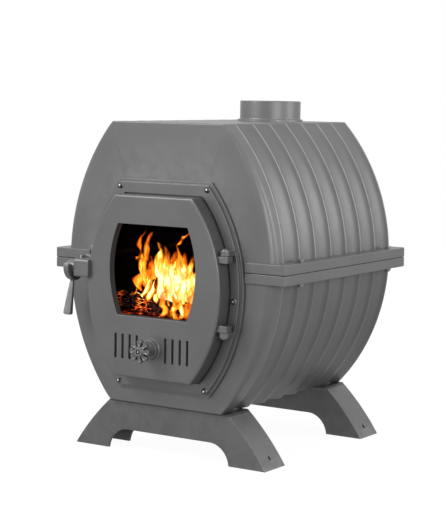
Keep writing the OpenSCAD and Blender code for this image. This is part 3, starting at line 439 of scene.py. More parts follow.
def fastener_shape(name, sides):
    """Screws or bolts set on points: a domed head, or a hexagon with a chamfer, on its shank."""
    s = Shape(name, ("Head Radius", "Head Height", "Shank Radius", "Shank Length", "Chamfer"))
    radius, height, length = s.given["Head Radius"], s.given["Head Height"], s.given["Shank Length"]
    if sides == 0:
        ball = s.node("GeometryNodeMeshUVSphere", {"Segments": 28, "Rings": 16, "Radius": 1.0}).outputs[0]
        x, y, z = s.parts(s.position())
        dome = s.vector(s.times(x, radius), s.times(y, radius), s.times(s.larger(z, 0.0), height))
        parts = [s.set_at(s.kept(ball, "reach", s.length(x, y)), dome)]
    else:
        chamfer, parts = s.given["Chamfer"], []
        straight = s.less(height, chamfer)
        for low, depth, top in ((0.0, straight, radius), (straight, chamfer, s.less(radius, chamfer))):
            cone = s.node("GeometryNodeMeshCone", {
                "Vertices": sides, "Radius Bottom": radius, "Radius Top": top, "Depth": depth})
            parts.append(s.moved(cone.outputs["Mesh"], s.vector(0.0, 0.0, low)))
    shank = s.node("GeometryNodeMeshCylinder", {
        "Vertices": 20, "Radius": s.given["Shank Radius"], "Depth": length}).outputs["Mesh"]
    parts.append(s.moved(shank, s.vector(0.0, 0.0, s.times(length, -0.5))))
    whole = s.node("GeometryNodeJoinGeometry")
    for part in parts:
        s.feed(whole.inputs[0], part)
    facing = s.attribute("facing", "FLOAT_VECTOR")
    return s.end(s.on_points(s.given["Geometry"], whole.outputs[0], facing, "Z"))


def rope_shape():
    """Knitted rope laid along a closed path, pressed flat in its groove."""
    s = Shape("Knitted rope", ("Half Width", "Half Thickness", "Knit Depth", "Stitch Length"), ("Stations",))
    path = s.node("GeometryNodeMeshToCurve", {0: s.given["Geometry"]}).outputs[0]
    path = s.node("GeometryNodeResampleCurve", {"Curve": path, "Count": s.given["Stations"]}).outputs[0]
    path = s.kept(path, "run", s.node("GeometryNodeSplineParameter").outputs["Length"])
    ring = s.node("GeometryNodeCurvePrimitiveCircle", {"Resolution": 20, "Radius": 1.0}).outputs[0]
    ring = s.kept(ring, "turn", s.node("GeometryNodeSplineParameter").outputs["Factor"])
    x, y, _ = s.parts(s.position())
    oval = s.set_at(ring, s.vector(s.times(x, s.given["Half Width"]), s.times(y, s.given["Half Thickness"])))
    sweep = s.node("GeometryNodeCurveToMesh", {"Curve": path, "Profile Curve": oval}).outputs[0]
    run, turn = s.attribute("run"), s.attribute("turn")
    steps = s.times(s.calc("DIVIDE", run, s.given["Stitch Length"]), 2 * math.pi)
    wraps = s.times(turn, 8 * math.pi)
    knit = s.larger(s.calc("SINE", s.plus(steps, wraps)), s.calc("SINE", s.less(steps, wraps)))
    sink = s.times(s.less(knit, 1.0), s.given["Knit Depth"])
    laid = s.kept(sweep, "lay", s.vector(run, turn), "FLOAT_VECTOR")
    return s.end(s.moved(laid, s.scaled(s.node("GeometryNodeInputNormal").outputs[0], sink)))


def petal_shape():
    """Petals set round the hub of the air knob."""
    s = Shape("Knob petals", (), ("Petals",))
    ring = s.node("GeometryNodeMeshCircle", {"Vertices": s.given["Petals"], "Radius": 0.001}).outputs["Mesh"]
    return s.end(s.on_points(ring, s.given["Geometry"], s.position(), "X"))


# ---- finishes ----

def tinted(value):
    """A colour for a socket: one number is a grey. Another node's output stays as it is."""
    if isinstance(value, float):
        value = (value,) * 3
    return (*value, 1.0) if isinstance(value, tuple) else value


class Finish(Nodes):
    """A node material with one Principled shader."""

    def __init__(self, name):
        self.material = bpy.data.materials.new(name)
        self.material.use_nodes = True
        super().__init__(self.material.node_tree)
        self.shader = self.tree.nodes["Principled BSDF"]
        self.where = self.node("ShaderNodeTexCoord").outputs["Object"]

    def set(self, **values):
        for key, value in values.items():
            self.feed(self.shader.inputs[key.replace("_", " ")], value)
        return self.material

    def only(self, surface):
        """Another shader takes the place of the Principled one."""
        self.feed(self.tree.nodes["Material Output"].inputs["Surface"], surface)
        self.tree.nodes.remove(self.shader)
        return self.material

    def mapped(self, scale, location=(0, 0, 0), source=None):
        return self.node("ShaderNodeMapping", {
            "Vector": source or self.where, "Scale": scale, "Location": location}).outputs[0]

    def noise(self, scale, detail=4.0, rough=0.55, distort=0.0, source=None):
        return self.node("ShaderNodeTexNoise", {
            "Vector": source or self.where, "Scale": scale, "Detail": detail, "Roughness": rough,
            "Distortion": distort}).outputs["Fac"]

    def cells(self, scale, feature="F1", source=None):
        return self.node("ShaderNodeTexVoronoi", {"Vector": source or self.where, "Scale": scale},
                         feature=feature).outputs["Distance"]

    def mask(self, value, start, full, low=0.0, high=1.0):
        """A spread whose ends are told in millimetres."""
        return self.spread(value, start * MM, full * MM, low, high)

    def between(self, value, *edges):
        """The masks of several edges, each told as (start, full), multiplied."""
        return self.times(*(self.mask(value, start, full) for start, full in edges))

    def ramp(self, value, *stops):
        node = self.node("ShaderNodeValToRGB", {0: value})
        marks = node.color_ramp.elements
        while len(marks) < len(stops):
            marks.new(0.5)
        for mark, (at, colour) in zip(marks, stops):
            mark.position, mark.color = at, tinted(colour)
        return node.outputs[0]

    def blend(self, factor, first, second):
        node = self.node("ShaderNodeMix", {0: factor, 6: tinted(first), 7: tinted(second)},
                         data_type="RGBA", blend_type="MIX")
        return node.outputs[2]

    def bump(self, height, depth, strength=1.0, under=None):
        node = self.node("ShaderNodeBump", {"Height": height, "Distance": depth, "Strength": strength})
        if under is not None:
            self.feed(node.inputs["Normal"], under)
        return node.outputs[0]


def leg_painted_shade(f, tone, gloss):
    """Painted shade: the legs darker below the body, and a painted shadow line where the legs meet it."""
    z = f.parts(f.where)[2]
    # Painted shade: the legs a little darker below the body
    tone = f.blend(f.mask(z, LEG_H - 3, LEG_H - 9, 0.0, 0.22), tone, 0.02)
    # Painted shadow: a dark line where the body's edge overhangs the legs
    shadow_line = f.between(z, (LEG_H - 5.5, LEG_H - 3.5), (LEG_H + 2, LEG_H + 1))
    return f.blend(f.times(shadow_line, 0.75), tone, 0.02), gloss


def shell_soot_and_painted_light(f, tone, gloss):
    """Painted shade in the ribs' hollows, a painted highlight on their crests, and soot inside and on the
    split faces.
    """
    x, y, z = f.parts(f.where)
    depth = f.plus(y, MID_Y * MM)
    out = f.length(f.plus(f.calc("ABSOLUTE", x), BODY_CX * MM), f.less(z, SPLIT * MM))
    level = f.calc("ABSOLUTE", f.less(z, SPLIT * MM))
    local = f.calc("FLOORED_MODULO", f.less(depth, FRONT_BAND * MM), RIB_PITCH * MM)
    r, half = BODY_R, HEIGHT / 2

    side = f.times(f.mask(level, half - 1, half - 2.5), f.mask(out, r + 1.2, r + 0.6))
    # Painted shade: darker behind each rib's step and before its crest, most near the split
    hollow_shade = f.times(f.mask(local, 34, 47, 0.0, 0.40), f.mask(level, half - 10, half - 130, 0.3, 1.0))
    rib_shade = f.larger(f.mask(local, 14, 5, 0.0, 0.24), hollow_shade)
    rib_shade = f.times(rib_shade, f.mask(depth, FRONT_BAND - 1, FRONT_BAND + 1), side)
    tone = f.blend(rib_shade, tone, 0.05)
    # Painted highlight: a light, patchy line along each crest, fainter on the lower shell
    crest_highlight = f.times(f.mask(out, r - 2.6, r - 1.4), f.mask(local, RIB_PITCH - 6.5, RIB_PITCH - 5),
                   f.spread(f.noise(60.0, 3.0), 0.3, 0.5, 0.5, 0.9),
                   f.mask(z, SPLIT - 40, SPLIT + 20, 0.3, 1.0))
    tone = f.blend(f.times(crest_highlight, side), tone, (0.46, 0.46, 0.455))

    inside = f.times(f.mask(out, r - 9, r - 12.5), f.between(z, (TOP - 2, TOP - 6), (LEG_H + 7, LEG_H + 11)),
                     f.between(depth, (4, 7), (DEPTH - 3, DEPTH - 7)))
    split = f.times(f.mask(level, 2.4, 1.6), f.mask(out, r + 5, r + 3),
                    f.between(depth, (2, 4), (DEPTH - 1, DEPTH - 3)))
    soot = f.larger(inside, split)
    crust = f.spread(f.noise(40.0, 5.0, 0.65), 0.4, 0.8)
    black = f.blend(crust, (0.0015, 0.0014, 0.0013), (0.007, 0.006, 0.0055))
    return f.blend(soot, tone, black), f.larger(gloss, f.times(soot, 0.9))


def heat_paint(name, marks):
    """Matte grey heat-resistant paint over sand-cast iron, lighter on its edges with wear and a painted
    highlight.
    """
    f = Finish(name)
    sand = f.noise(900.0, 3.0, 0.6)
    tone = f.blend(f.spread(f.noise(7.0, 3.0), 0.3, 0.7), 0.182, 0.214)
    tone = f.blend(f.spread(sand, 0.35, 0.75, 0.0, 0.22), tone, 0.27)
    tone, gloss = marks(f, tone, f.spread(sand, 0.2, 0.8, 0.36, 0.44))
    # Edges lighter: worn paint there, and a painted highlight along them
    edge = f.spread(f.node("ShaderNodeNewGeometry").outputs["Pointiness"], 0.53, 0.62)
    edge = f.times(edge, f.spread(f.noise(45.0, 4.0, 0.6), 0.35, 0.6, 0.2, 0.85))
    tone = f.blend(edge, tone, (0.36, 0.36, 0.355))
    swells = f.bump(f.noise(22.0, 2.0), 0.0012, 0.35)
    pits = f.bump(f.spread(f.cells(420.0), 0.0, 0.4), 0.0002, 0.25, f.bump(sand, 0.0004, 0.5, swells))
    return f.set(Base_Color=tone, Metallic=0.6, Roughness=gloss, Specular_IOR_Level=0.12, Normal=pits)


def fired_iron():
    """Bare iron inside the firebox, dark with soot and grey with ash."""
    f = Finish("fired_iron")
    ash = f.spread(f.noise(38.0, 6.0, 0.65), 0.45, 0.72)
    return f.set(Base_Color=f.blend(ash, (0.012, 0.011, 0.010), (0.075, 0.066, 0.058)), Metallic=0.1,
                 Roughness=f.spread(ash, 0.0, 1.0, 0.62, 0.92),
                 Normal=f.bump(f.noise(320.0, 5.0, 0.7), 0.0007, 0.7))


def turned_steel(name, colour, rough):
    """Steel of screws, pins and levers, with fine turning marks and a little tarnish."""
    f = Finish(name)
    marks = f.noise(600.0, 2.0, 0.5, source=f.mapped((1.0, 1.0, 6.0)))
    tarnish = f.spread(f.noise(60.0, 4.0), 0.35, 0.75)
    return f.set(Base_Color=f.blend(tarnish, colour, tuple(c * 0.62 for c in colour)), Metallic=1.0,
                 Roughness=f.spread(tarnish, 0.0, 1.0, rough, rough + 0.22),
                 Normal=f.bump(marks, 0.00008, 0.5))


def worn_screw():
    """Blackened screw head with painted highlights: a bright dot in the middle and a paler rim."""
    f = Finish("worn_screw")
    reach = f.node("ShaderNodeAttribute", attribute_name="reach").outputs["Fac"]
    reach = f.plus(reach, f.spread(f.noise(900.0, 2.0), 0.3, 0.7, -0.05, 0.05))
    # Painted highlights: a bright dot in the middle and a paler rim on the dark head
    tone = f.ramp(reach, (0.24, 0.9), (0.36, 0.05), (0.80, 0.06), (0.95, 0.30))
    return f.set(Base_Color=tone, Metallic=1.0, Roughness=0.34,
                 Normal=f.bump(f.noise(700.0, 2.0), 0.0001, 0.4))


def black_sheet():
    """Matte black steel sheet, dusty with ash."""
    f = Finish("black_sheet")
    dust = f.spread(f.noise(26.0, 5.0, 0.6), 0.5, 0.8)
    return f.set(Base_Color=f.blend(dust, 0.06, (0.15, 0.145, 0.14)), Metallic=0.3,
                 Roughness=f.spread(dust, 0.0, 1.0, 0.48, 0.85),
                 Normal=f.bump(f.noise(150.0, 3.0), 0.0003, 0.4))


def seal_board():
    """Pressed fibre board between the castings, sooty where it faces the fire."""
    f = Finish("seal_board")
    fibres = f.noise(1200.0, 3.0, 0.6, 0.4, source=f.mapped((1.0, 0.35, 1.0)))
    x, y, _ = f.parts(f.where)
    inside = f.times(f.mask(f.calc("ABSOLUTE", x), 248, 246),
                     f.between(f.plus(y, MID_Y * MM), (3, 5), (DEPTH - 2, DEPTH - 4)))
    tone = f.blend(f.spread(fibres, 0.3, 0.7), 0.05, (0.13, 0.128, 0.125))
    return f.set(Base_Color=f.blend(inside, tone, 0.004), Roughness=0.95, Normal=f.bump(fibres, 0.0004, 0.8))


def knitted_rope():
    """Graphite-grey glass-fibre rope: the knit itself is in the mesh, its yarns are here."""
    f = Finish("knitted_rope")
    lay = f.node("ShaderNodeAttribute", attribute_name="lay").outputs["Vector"]
    yarns = f.node("ShaderNodeTexWave", {"Vector": f.mapped((900.0, 9.0, 1.0), source=lay), "Scale": 1.0,
                                         "Distortion": 1.2}, wave_type="BANDS", bands_direction="DIAGONAL")
    yarns = yarns.outputs["Fac"]
    return f.set(Base_Color=f.blend(yarns, 0.05, (0.13, 0.128, 0.125)), Roughness=0.9, Sheen_Weight=0.25,
                 Sheen_Roughness=0.5, Normal=f.bump(yarns, 0.0004, 0.8))


def stove_glass():
    """Clear heat-resistant glass, a little sooty toward its edge."""
    f = Finish("stove_glass")
    x, _, z = f.parts(f.mapped((1.0, 1.0, 1.0), (0.0, 0.0, -WINDOW_Z * MM)))
    edge = f.larger(*(f.calc("DIVIDE", f.calc("ABSOLUTE", way), size / 2 * MM)
                      for way, size in ((x, WINDOW[0]), (z, WINDOW[2]))))
    soot = f.times(f.spread(edge, 0.82, 1.12), f.spread(f.noise(30.0, 4.0), 0.25, 0.7))
    return f.set(Base_Color=f.blend(soot, (1.0, 0.99, 0.97), (0.10, 0.085, 0.07)), Roughness=0.02, IOR=1.04,
                 Transmission_Weight=1.0, Specular_IOR_Level=0.08,
                 Normal=f.bump(f.noise(5.0, 1.0), 0.0003, 0.12))


def charred_wood():
    """Burning log: charred bark broken into blocks, glowing in its cracks."""
    f = Finish("charred_wood")
    cracks = f.cells(48.0, "DISTANCE_TO_EDGE", f.mapped((1.0, 3.2, 3.2)))
    heat = f.times(f.spread(cracks, 0.05, 0.0), f.spread(f.noise(24.0, 3.0), 0.52, 0.68))
    char = f.blend(f.spread(f.noise(90.0, 5.0, 0.7), 0.35, 0.7), (0.012, 0.004, 0.003), (0.11, 0.030, 0.018))
    glow = f.ramp(heat, (0.0, 0.0), (0.25, (0.25, 0.02, 0.002)), (0.6, (1.0, 0.16, 0.01)),
                  (1.0, (1.0, 0.55, 0.12)))
    return f.set(Base_Color=char, Roughness=0.88, Emission_Strength=3.0, Emission_Color=glow,
                 Normal=f.bump(f.spread(cracks, 0.0, 0.25), 0.004, 0.9))


def ember_bed():
    """Glowing coals under grey ash."""
    f = Finish("ember_bed")
    lumps = f.spread(f.noise(38.0, 5.0, 0.65, 0.6), 0.5, 0.72)
    heat = f.times(lumps, f.spread(f.noise(150.0, 3.0), 0.3, 0.65))
    glow = f.ramp(heat, (0.0, 0.0), (0.3, (0.35, 0.02, 0.002)), (0.62, (1.0, 0.22, 0.015)),
                  (1.0, (1.0, 0.72, 0.25)))
    ash = f.blend(f.noise(120.0, 3.0), (0.008, 0.006, 0.005), (0.04, 0.03, 0.026))
    return f.set(Base_Color=ash, Roughness=0.9, Emission_Color=glow, Emission_Strength=2.2,
                 Normal=f.bump(f.noise(160.0, 3.0), 0.002, 0.8))


def flame_light():
    """Flame: white-yellow in its heart, orange and then clear toward its edges and tip."""
    f = Finish("flame_light")
    across, up, _ = f.parts(f.node("ShaderNodeUVMap", uv_map="lick").outputs[0])
    heat = f.parts(f.node("ShaderNodeUVMap", uv_map="heat").outputs[0])[0]
    curl = f.noise(30.0, 3.0, 0.6, 1.6, source=f.mapped((1.0, 1.0, 0.36)))
    fine = f.noise(95.0, 2.0, 0.5, 0.8, source=f.mapped((1.0, 1.0, 0.25)))
    heart = f.less(1.0, f.power(f.calc("ABSOLUTE", across), 2.2))
    fade = f.less(1.1, f.power(up, 2.4))
    torn = f.times(heart, fade, f.spread(curl, 0.34, 0.6, 0.2, 1.35), f.spread(up, 0.0, 0.16, 0.1, 1.0),
                   f.spread(fine, 0.3, 0.7, 0.6, 1.25))
    level = f.times(torn, heat)
    colour = f.ramp(level, (0.0, (0.32, 0.02, 0.001)), (0.18, (0.85, 0.11, 0.004)),
                    (0.36, (1.0, 0.30, 0.012)), (0.56, (1.0, 0.60, 0.06)), (0.80, (1.0, 0.92, 0.42)))
    # Light that has turned on a surface is weak, so the flames don't tint the castings round them
    path = f.node("ShaderNodeLightPath").outputs
    turns = f.plus(path["Diffuse Depth"], path["Glossy Depth"])
    strength = f.times(f.spread(level, 0.1, 0.8, 1.0, 1.9), f.spread(turns, 0.0, 1.0, 1.0, 0.05))
    light = f.node("ShaderNodeEmission", {"Color": colour, "Strength": strength})
    clear = f.node("ShaderNodeBsdfTransparent")
    return f.only(f.node("ShaderNodeMixShader", {
        0: f.spread(torn, 0.12, 0.62, 0.0, 0.95), 1: clear.outputs[0], 2: light.outputs[0]}).outputs[0])


# ---- the two shells ----

SPLIT_GAP = SEAL_HALF + GAP
SIDE_COLUMNS, CORNER_COLUMNS, FLAT_COLUMNS = 35, 4, 13
# Distances from a rib's root to the rows across it, and from the front to those on the plain band
RIB_STATIONS = (0.01, 0.5, 1.2, 2.0, 6, 9, *range(12, 53, 4), 55.5, 58.5, 59.0, 59.6, 60.2, 60.7, 61.1, 61.4,
                61.6, 61.704)
BAND_STATIONS = (39.99, 39.8, 39.5, 39.1, 38.6, 38.0, 37.4, 36.8, 36.2, 32, 28, 24)
FRONT_TURNS = (0, 12, 24, 34, 44, 52, 60, 66, 72, 77, 81, 85, 88, 90)
INNER_STATIONS = (WALL, 30, 90, 160, 230, 300, 370, 440, DEPTH - WALL)


def mirrored(half):
    """A half outline followed by its mirror image, told by each column's vectors in x and height."""
    return half + [tuple((-v[0], v[1]) if isinstance(v, tuple) else v for v in column)
                   for column in half[-2::-1]]


def section_columns(up):
    """Columns of a half barrel outline from the right flange over to the left one.

    Each is (place, inward way, pull of the side ribs, pull of the flat's ribs, share of the rounding in
    front), with heights told from the split.
    """
    r, cx, top = BODY_R, BODY_CX, HEIGHT / 2
    turn = math.asin(top / r)
    slope, stretch = math.tan(turn), 1 / math.cos(turn)
    least = EDGE_EASE / FRONT_ROUND
    half = []
    for t in np.linspace(math.asin(SPLIT_GAP / r), turn - EDGE_EASE / r, SIDE_COLUMNS):
        c, s, w = math.cos(t), math.sin(t), (t / turn) ** 2
        half.append(((r * c - cx, r * s), (-c, -s), (-c - w * slope * s, -s + w * slope * c),
                     (w * stretch * s, -w * stretch * c), max(least, 1 - (t / turn) ** 2.2)))
    a, corner = Vector(half[-1][0]), Vector((r * math.cos(turn) - cx, top))
    b = corner + Vector((-EDGE_EASE, 0))
    for k in range(1, CORNER_COLUMNS + 1):
        t = k / CORNER_COLUMNS
        place = a * (1 - t) ** 2 + corner * 2 * t * (1 - t) + b * t * t
        half.append((tuple(place), (-0.7 * (1 - t), -0.7 - 0.3 * t), (-stretch, 0), (slope, -1), least))
    for x in np.linspace(b.x, 0, FLAT_COLUMNS)[1:]:
        k = x / corner.x
        half.append(((x, top), (0, -1), (-stretch * k, 0), (slope * k, -1), least))
    columns = mirrored(half)
    return [(*c[:3], (0, 0), c[4]) for c in columns] if up else columns


def matching_columns(r, cx, rise, high):
    """Points on another half outline, bowed with radius r, one for each column of the section."""
    half = [(math.sqrt(r ** 2 - (h + rise) ** 2) - cx, h) for h in np.linspace(SPLIT_GAP, high, SIDE_COLUMNS)]
    corner = half[-1][0]
    half += [(corner - k * 0.5, high) for k in range(1, CORNER_COLUMNS + 1)]
    half += [(x, high) for x in np.linspace(corner - 2, 0, FLAT_COLUMNS)[1:]]
    return half + [(-x, h) for x, h in half[-2::-1]]


def ease_fall(distance, radius):
    """The same as quarter_fall, for plain numbers."""
    inside = max(radius - distance, 0.0)
    return radius - math.sqrt(radius * radius - inside * inside)


def shell_skin(name, up):
    """Closed skin of one shell: outside, front with its opening, and inside."""
    columns = section_columns(up)
    n, sign = len(columns), 1 if up else -1
    shares = [share for *_, share in columns]
    points, depths, pulls, still = [], [], [], [((0, 0), (0, 0))] * n

    def ring(outline, y):
        """A row of points that the ribs don't move."""
        points.extend((x, y, SPLIT + sign * h) for x, h in outline)
        depths.extend([0.0] * n)
        pulls.extend(still)

    def outer(along, inset=0.0):
        """A row of points on the outside, drawn in at the edges, for the ribs to move."""
        along = along if isinstance(along, list) else [along] * n
        for ((x, h), way, side, flat, _), y in zip(columns, along):
            fall = ease_fall(y, EDGE_EASE) + ease_fall(DEPTH - y, CREST_ROUND)
            drawn = inset + (fall if abs(way[0]) < 0.5 else 0.0) * abs(way[1])
            points.append((x + way[0] * drawn, y, SPLIT + sign * (h + way[1] * drawn)))
            pulls.append((side, flat))
        depths.extend(along)

    middle = [(0.0, SPLIT_GAP)] * n
    ring(middle, DEPTH)
    outer(DEPTH - 0.01, 1.2)
    points[-n:] = [(x, DEPTH, z) for x, y, z in points[-n:]]
    for i in reversed(range(RIBS)):
        for station in reversed(RIB_STATIONS):
            outer(FRONT_BAND + i * RIB_PITCH + station)
    for station in BAND_STATIONS:
        outer(station)
    for a in FRONT_TURNS:
        outer([FRONT_ROUND * share * (1 - math.sin(math.radians(a))) for share in shares])
    outer(0.0, 1.2)

    door_lap, rise = 19, sign * (SPLIT - DOOR_Z)
    hole = matching_columns(DOOR_R - door_lap, DOOR_CX, rise, DOOR[2] / 2 - door_lap - rise)
    ring(hole, 0.0)
    ring(hole, WALL)
    inner_top = HEIGHT / 2 - WALL - (0 if up else BOTTOM_RISE)
    inside = matching_columns(BODY_R - RIB_RISE - WALL, BODY_CX, 0.0, inner_top)
    for y in INNER_STATIONS:
        ring(inside, y)
    ring(middle, DEPTH - WALL)

    rows = len(points) // n
    split_face = [i * n for i in range(rows)] + [i * n + n - 1 for i in reversed(range(rows))]
    mesh = mesh_of(name, points, grid(rows, n) + [tuple(split_face)])
    told(mesh, "along", np.array(depths, np.float32) * MM)
    told(mesh, "front_share", shares * rows)
    for kind, label in enumerate(("draw_side", "draw_flat")):
        told(mesh, label, [(pull[kind][0], 0, sign * pull[kind][1]) for pull in pulls], vectors=True)
    return mesh


def flange_plate(name, z0, z1):
    """Rounded flange plate, open in front where the door frame sits."""
    gap, inside, near, back = FRAME[0] / 2 + GAP, 238, 4, DEPTH - 4
    outline = []
    for cx, cy, first in ((FLANGE_X, FLANGE_Y0, -90), (FLANGE_X, FLANGE_Y1, 0),
                          (-FLANGE_X, FLANGE_Y1, 90), (-FLANGE_X, FLANGE_Y0, 180)):
        mx, my = cx - math.copysign(FLANGE_ROUND, cx), cy - math.copysign(FLANGE_ROUND, cy)
        for k in range(9):
            a = math.radians(first + 90 * k / 8)
            outline.append((mx + FLANGE_ROUND * math.cos(a), my + FLANGE_ROUND * math.sin(a)))
    outline += [(-gap, FLANGE_Y0), (-gap, near), (-inside, near), (-inside, back),
                (inside, back), (inside, near), (gap, near), (gap, FLANGE_Y0)]
    return eased(plate(name, outline, z0, z1), 1.1, 3)


def ledge_blocks(top_z):
    """Cast ledges that carry the grate or the baffle, at both walls."""
    reach = math.sqrt((BODY_R - RIB_RISE - WALL) ** 2 - (top_z - SPLIT) ** 2) - BODY_CX
    half, thick, from_end, proud, into_wall = 16, 10, 115, 16, 5
    blocks = []
    for s in (-1, 1):
        for y in (from_end, DEPTH - from_end):
            x0, x1 = sorted((s * (reach - proud), s * (reach + into_wall)))
            blocks.append(eased(block("ledge", (x0, y - half, top_z - thick), (x1, y + half, top_z)), 1.2))
    return blocks


def leg_pad(y):
    """Cast pad that a leg is bolted to."""
    half, thick, short = 129, 9, 0.4
    low, high = (-half, y + short, LEG_H), (half, y + LEG_DEPTH - short, LEG_H + thick)
    return eased(block("pad", low, high), 0.8)


def make_shells(paint):
    ribs = rib_shape()
    sizes = {"Rib_Pitch": RIB_PITCH, "Front_Band": FRONT_BAND, "Rib_Rise": RIB_DRAW,
             "Crest_Round": CREST_ROUND, "Root_Round": ROOT_ROUND, "Front_Round": FRONT_ROUND,
             "Bottom_Rise": BOTTOM_RISE}
    sizes = {label: value * MM for label, value in sizes.items()}

    def skin(name, up):
        return cleaned(ribs.applied(shell_skin(name, up), Material=paint, **sizes), near=2e-6)

    hole, at = NECK_HOLE_R, (0, COLLAR_Y, 0)
    neck = turned("neck", [(0, TOP - 30), (hole, TOP - 30), (hole, TOP + 20), (0, TOP + 20)], at)
    bead, root, rise = hole + 3, TOP - 1, TOP + 4
    bead = rounded([(hole, root), (hole, rise), (bead, rise), (bead, root)], {2: 1.2, 1: 0.8})
    bead = turned("bead", bead, at, ring=True)
    low, high, lap = SPLIT - SEAL_HALF, SPLIT + SEAL_HALF, 0.4
    upper = [evened(bored(skin("upper", True), neck), 50),
             flange_plate("upper_flange", high - lap, high + FLANGE_T), shaded(bead)] + ledge_blocks(BAFFLE_Z)
    lower = [evened(skin("lower", False), 50), flange_plate("lower_flange", low - FLANGE_T, low + lap)]
    lower += ledge_blocks(GRATE_Z - GRATE_T) + [leg_pad(y) for y in LEG_PLACES]
    for name, meshes in (("upper_shell", upper), ("lower_shell", lower)):
        piece(name + "_casting", joined(name + "_casting", meshes), paint, "stove", "body_iron", name)


# ---- flue, legs, door, latch, air control ----

def make_collar(paint):
    """Flue collar: a rim clamped from inside, a neck in the hole, and a ledge and a step for the pipes."""
    foot, rim_top, step, ledge, top = COLLAR_FOOT, COLLAR_FOOT + 6, 672, 675, 712
    throat, inner, outer, neck, rim = 57, 60, 65, 67, 80
    profile = rounded([(throat, foot), (throat, ledge), (inner, ledge), (inner, top), (outer, top),
                       (outer, step + 2.5), (neck, step), (neck, rim_top), (rim, rim_top), (rim, foot)],
                      {3: 1.4, 4: 1.8, 5: 1.5, 6: 1.0, 8: 1.2, 9: 1.2})
    mesh = turned("flue_collar_casting", profile, (0, COLLAR_Y, 0), around=128, ring=True)
    piece("flue_collar_casting", shaded(mesh), paint, "stove", "body_iron", "flue_collar")


def make_castings(paint, fired, steel, sheet, board, glass):
    """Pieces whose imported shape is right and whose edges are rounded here."""
    for node, width, material, body, slot in (
            ("front_leg", 1.3, paint, "stove", "body_iron"),
            ("rear_leg", 1.3, paint, "stove", "body_iron"),
            ("latch_hook", 0.8, paint, "latch", "body_iron"),
            ("latch_keeper", 0.6, steel, "stove", "steel"),
            ("grate", 1.2, fired, "stove", "fire_iron"),
            ("baffle_plate", 1.0, fired, "stove", "fire_iron"),
            ("ash_pan", 0.4, sheet, "stove", "black_sheet"),
            ("air_shutter", 0.4, sheet, "shutter", "black_sheet"),
            ("glass_clips", 0.3, steel, "door_leaf", "steel"),
            ("flange_seal", 0.3, board, "stove", "seal"),
            ("flue_collar_seal", 0.3, board, "stove", "seal"),
            ("frame_seal", 0.3, board, "stove", "seal"),
            ("glass_seal", 0.3, board, "door_leaf", "seal"),
            ("window_glass", 0.4, glass, "door_leaf", "window_glass"),
            ("air_spindle", 0.3, steel, "air_control", "steel"),
            ("shutter_guides", 0.3, steel, "door_leaf", "steel")):
        piece(node + "_piece", casting_of(node, width), material, body, slot, node)


class Casting:
    """Closed casting made of rings at their depths, walls between rings, and flat faces with holes."""

    def __init__(self):
        self.points, self.faces = [], []

    def rings(self, loop, path, z, x=0.0):
        """Rings along a path of (inset, depth); loop(inset) gives the outline. Walls join them."""
        made = []
        for inset, y in path:
            first = len(self.points)
            self.points += [(x + dx, y, z + dz) for dx, dz in loop(inset)]
            made.append(list(range(first, len(self.points))))
        for a, b in zip(made, made[1:]):
            self.wall(a, b)
        return made

    def wall(self, a, b):
        n = len(a)
        self.faces += [(a[i], a[(i + 1) % n], b[(i + 1) % n], b[i]) for i in range(n)]

    def sheet(self, loops):
        flat = [i for loop in loops for i in loop]
        outlines = [[Vector((self.points[i][0], self.points[i][2], 0)) for i in loop] for loop in loops]
        self.faces += [tuple(flat[k] for k in three) for three in tessellate_polygon(outlines)]

    def mesh(self, name):
        return evened(cleaned(mesh_of(name, self.points, self.faces)))


def make_frame(paint):
    """Door frame: a thin rim, a step, the rope's groove and the lip of the opening."""
    c = Casting()
    back, step, groove, proud, lip, ear_r = -1.5, -5.5, -6, -FRAME_PROUD, 20, 10
    rim = rounded([(0, back), (0, step), (6, step), (6, proud), (9, proud)], {1: 1.1, 2: 0.8, 3: 1.2})
    seat = rounded([(-3.5, proud), (-2.5, proud), (-2.5, groove), (9.5, groove), (9.5, proud),
                    (lip, proud), (lip, back)], {1: 0.7, 4: 0.7, 5: 1.4})
    outside, inside = c.rings(frame_loop, rim, DOOR_Z), c.rings(door_loop, seat, DOOR_Z)
    c.wall(outside[-1], inside[0])
    c.wall(inside[-1], outside[0])
    ear = [(HINGE_X + ear_r * math.cos(a), HINGE_Y + ear_r * math.sin(a))
           for a in np.linspace(math.pi, 2 * math.pi, 17)]
    ear = [(HINGE_X - ear_r, proud + 0.05)] + ear + [(HINGE_X + ear_r, proud + 0.05)]
    parts = [c.mesh("frame_plate")]
    for s in (-1, 1):
        z = DOOR_Z + s * EAR_OFF
        parts.append(eased(plate("ear", ear, z - EAR_T / 2, z + EAR_T / 2), 1.1, 3))
    mesh = joined("door_frame_casting", parts)
    piece("door_frame_casting", mesh, paint, "stove", "body_iron", "door_frame")


def slot_loop(grow):
    """Outline of an air slot about its own middle: a long hole with round ends."""
    half, reach = 2.6 + grow, 22.4
    top = [(half * math.cos(a), reach + half * math.sin(a)) for a in np.linspace(0, math.pi, 13)]
    return top + [(-x, -z) for x, z in top]


def clip_places(y):
    """Places of the glass clips' screws at a depth."""
    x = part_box("clip_screws")[1].x / MM - SMALL_HEAD[0]
    return [(sx * x, y, WINDOW_Z + sz * CLIP_Z) for sx in (-1, 1) for sz in (-1, 1)]


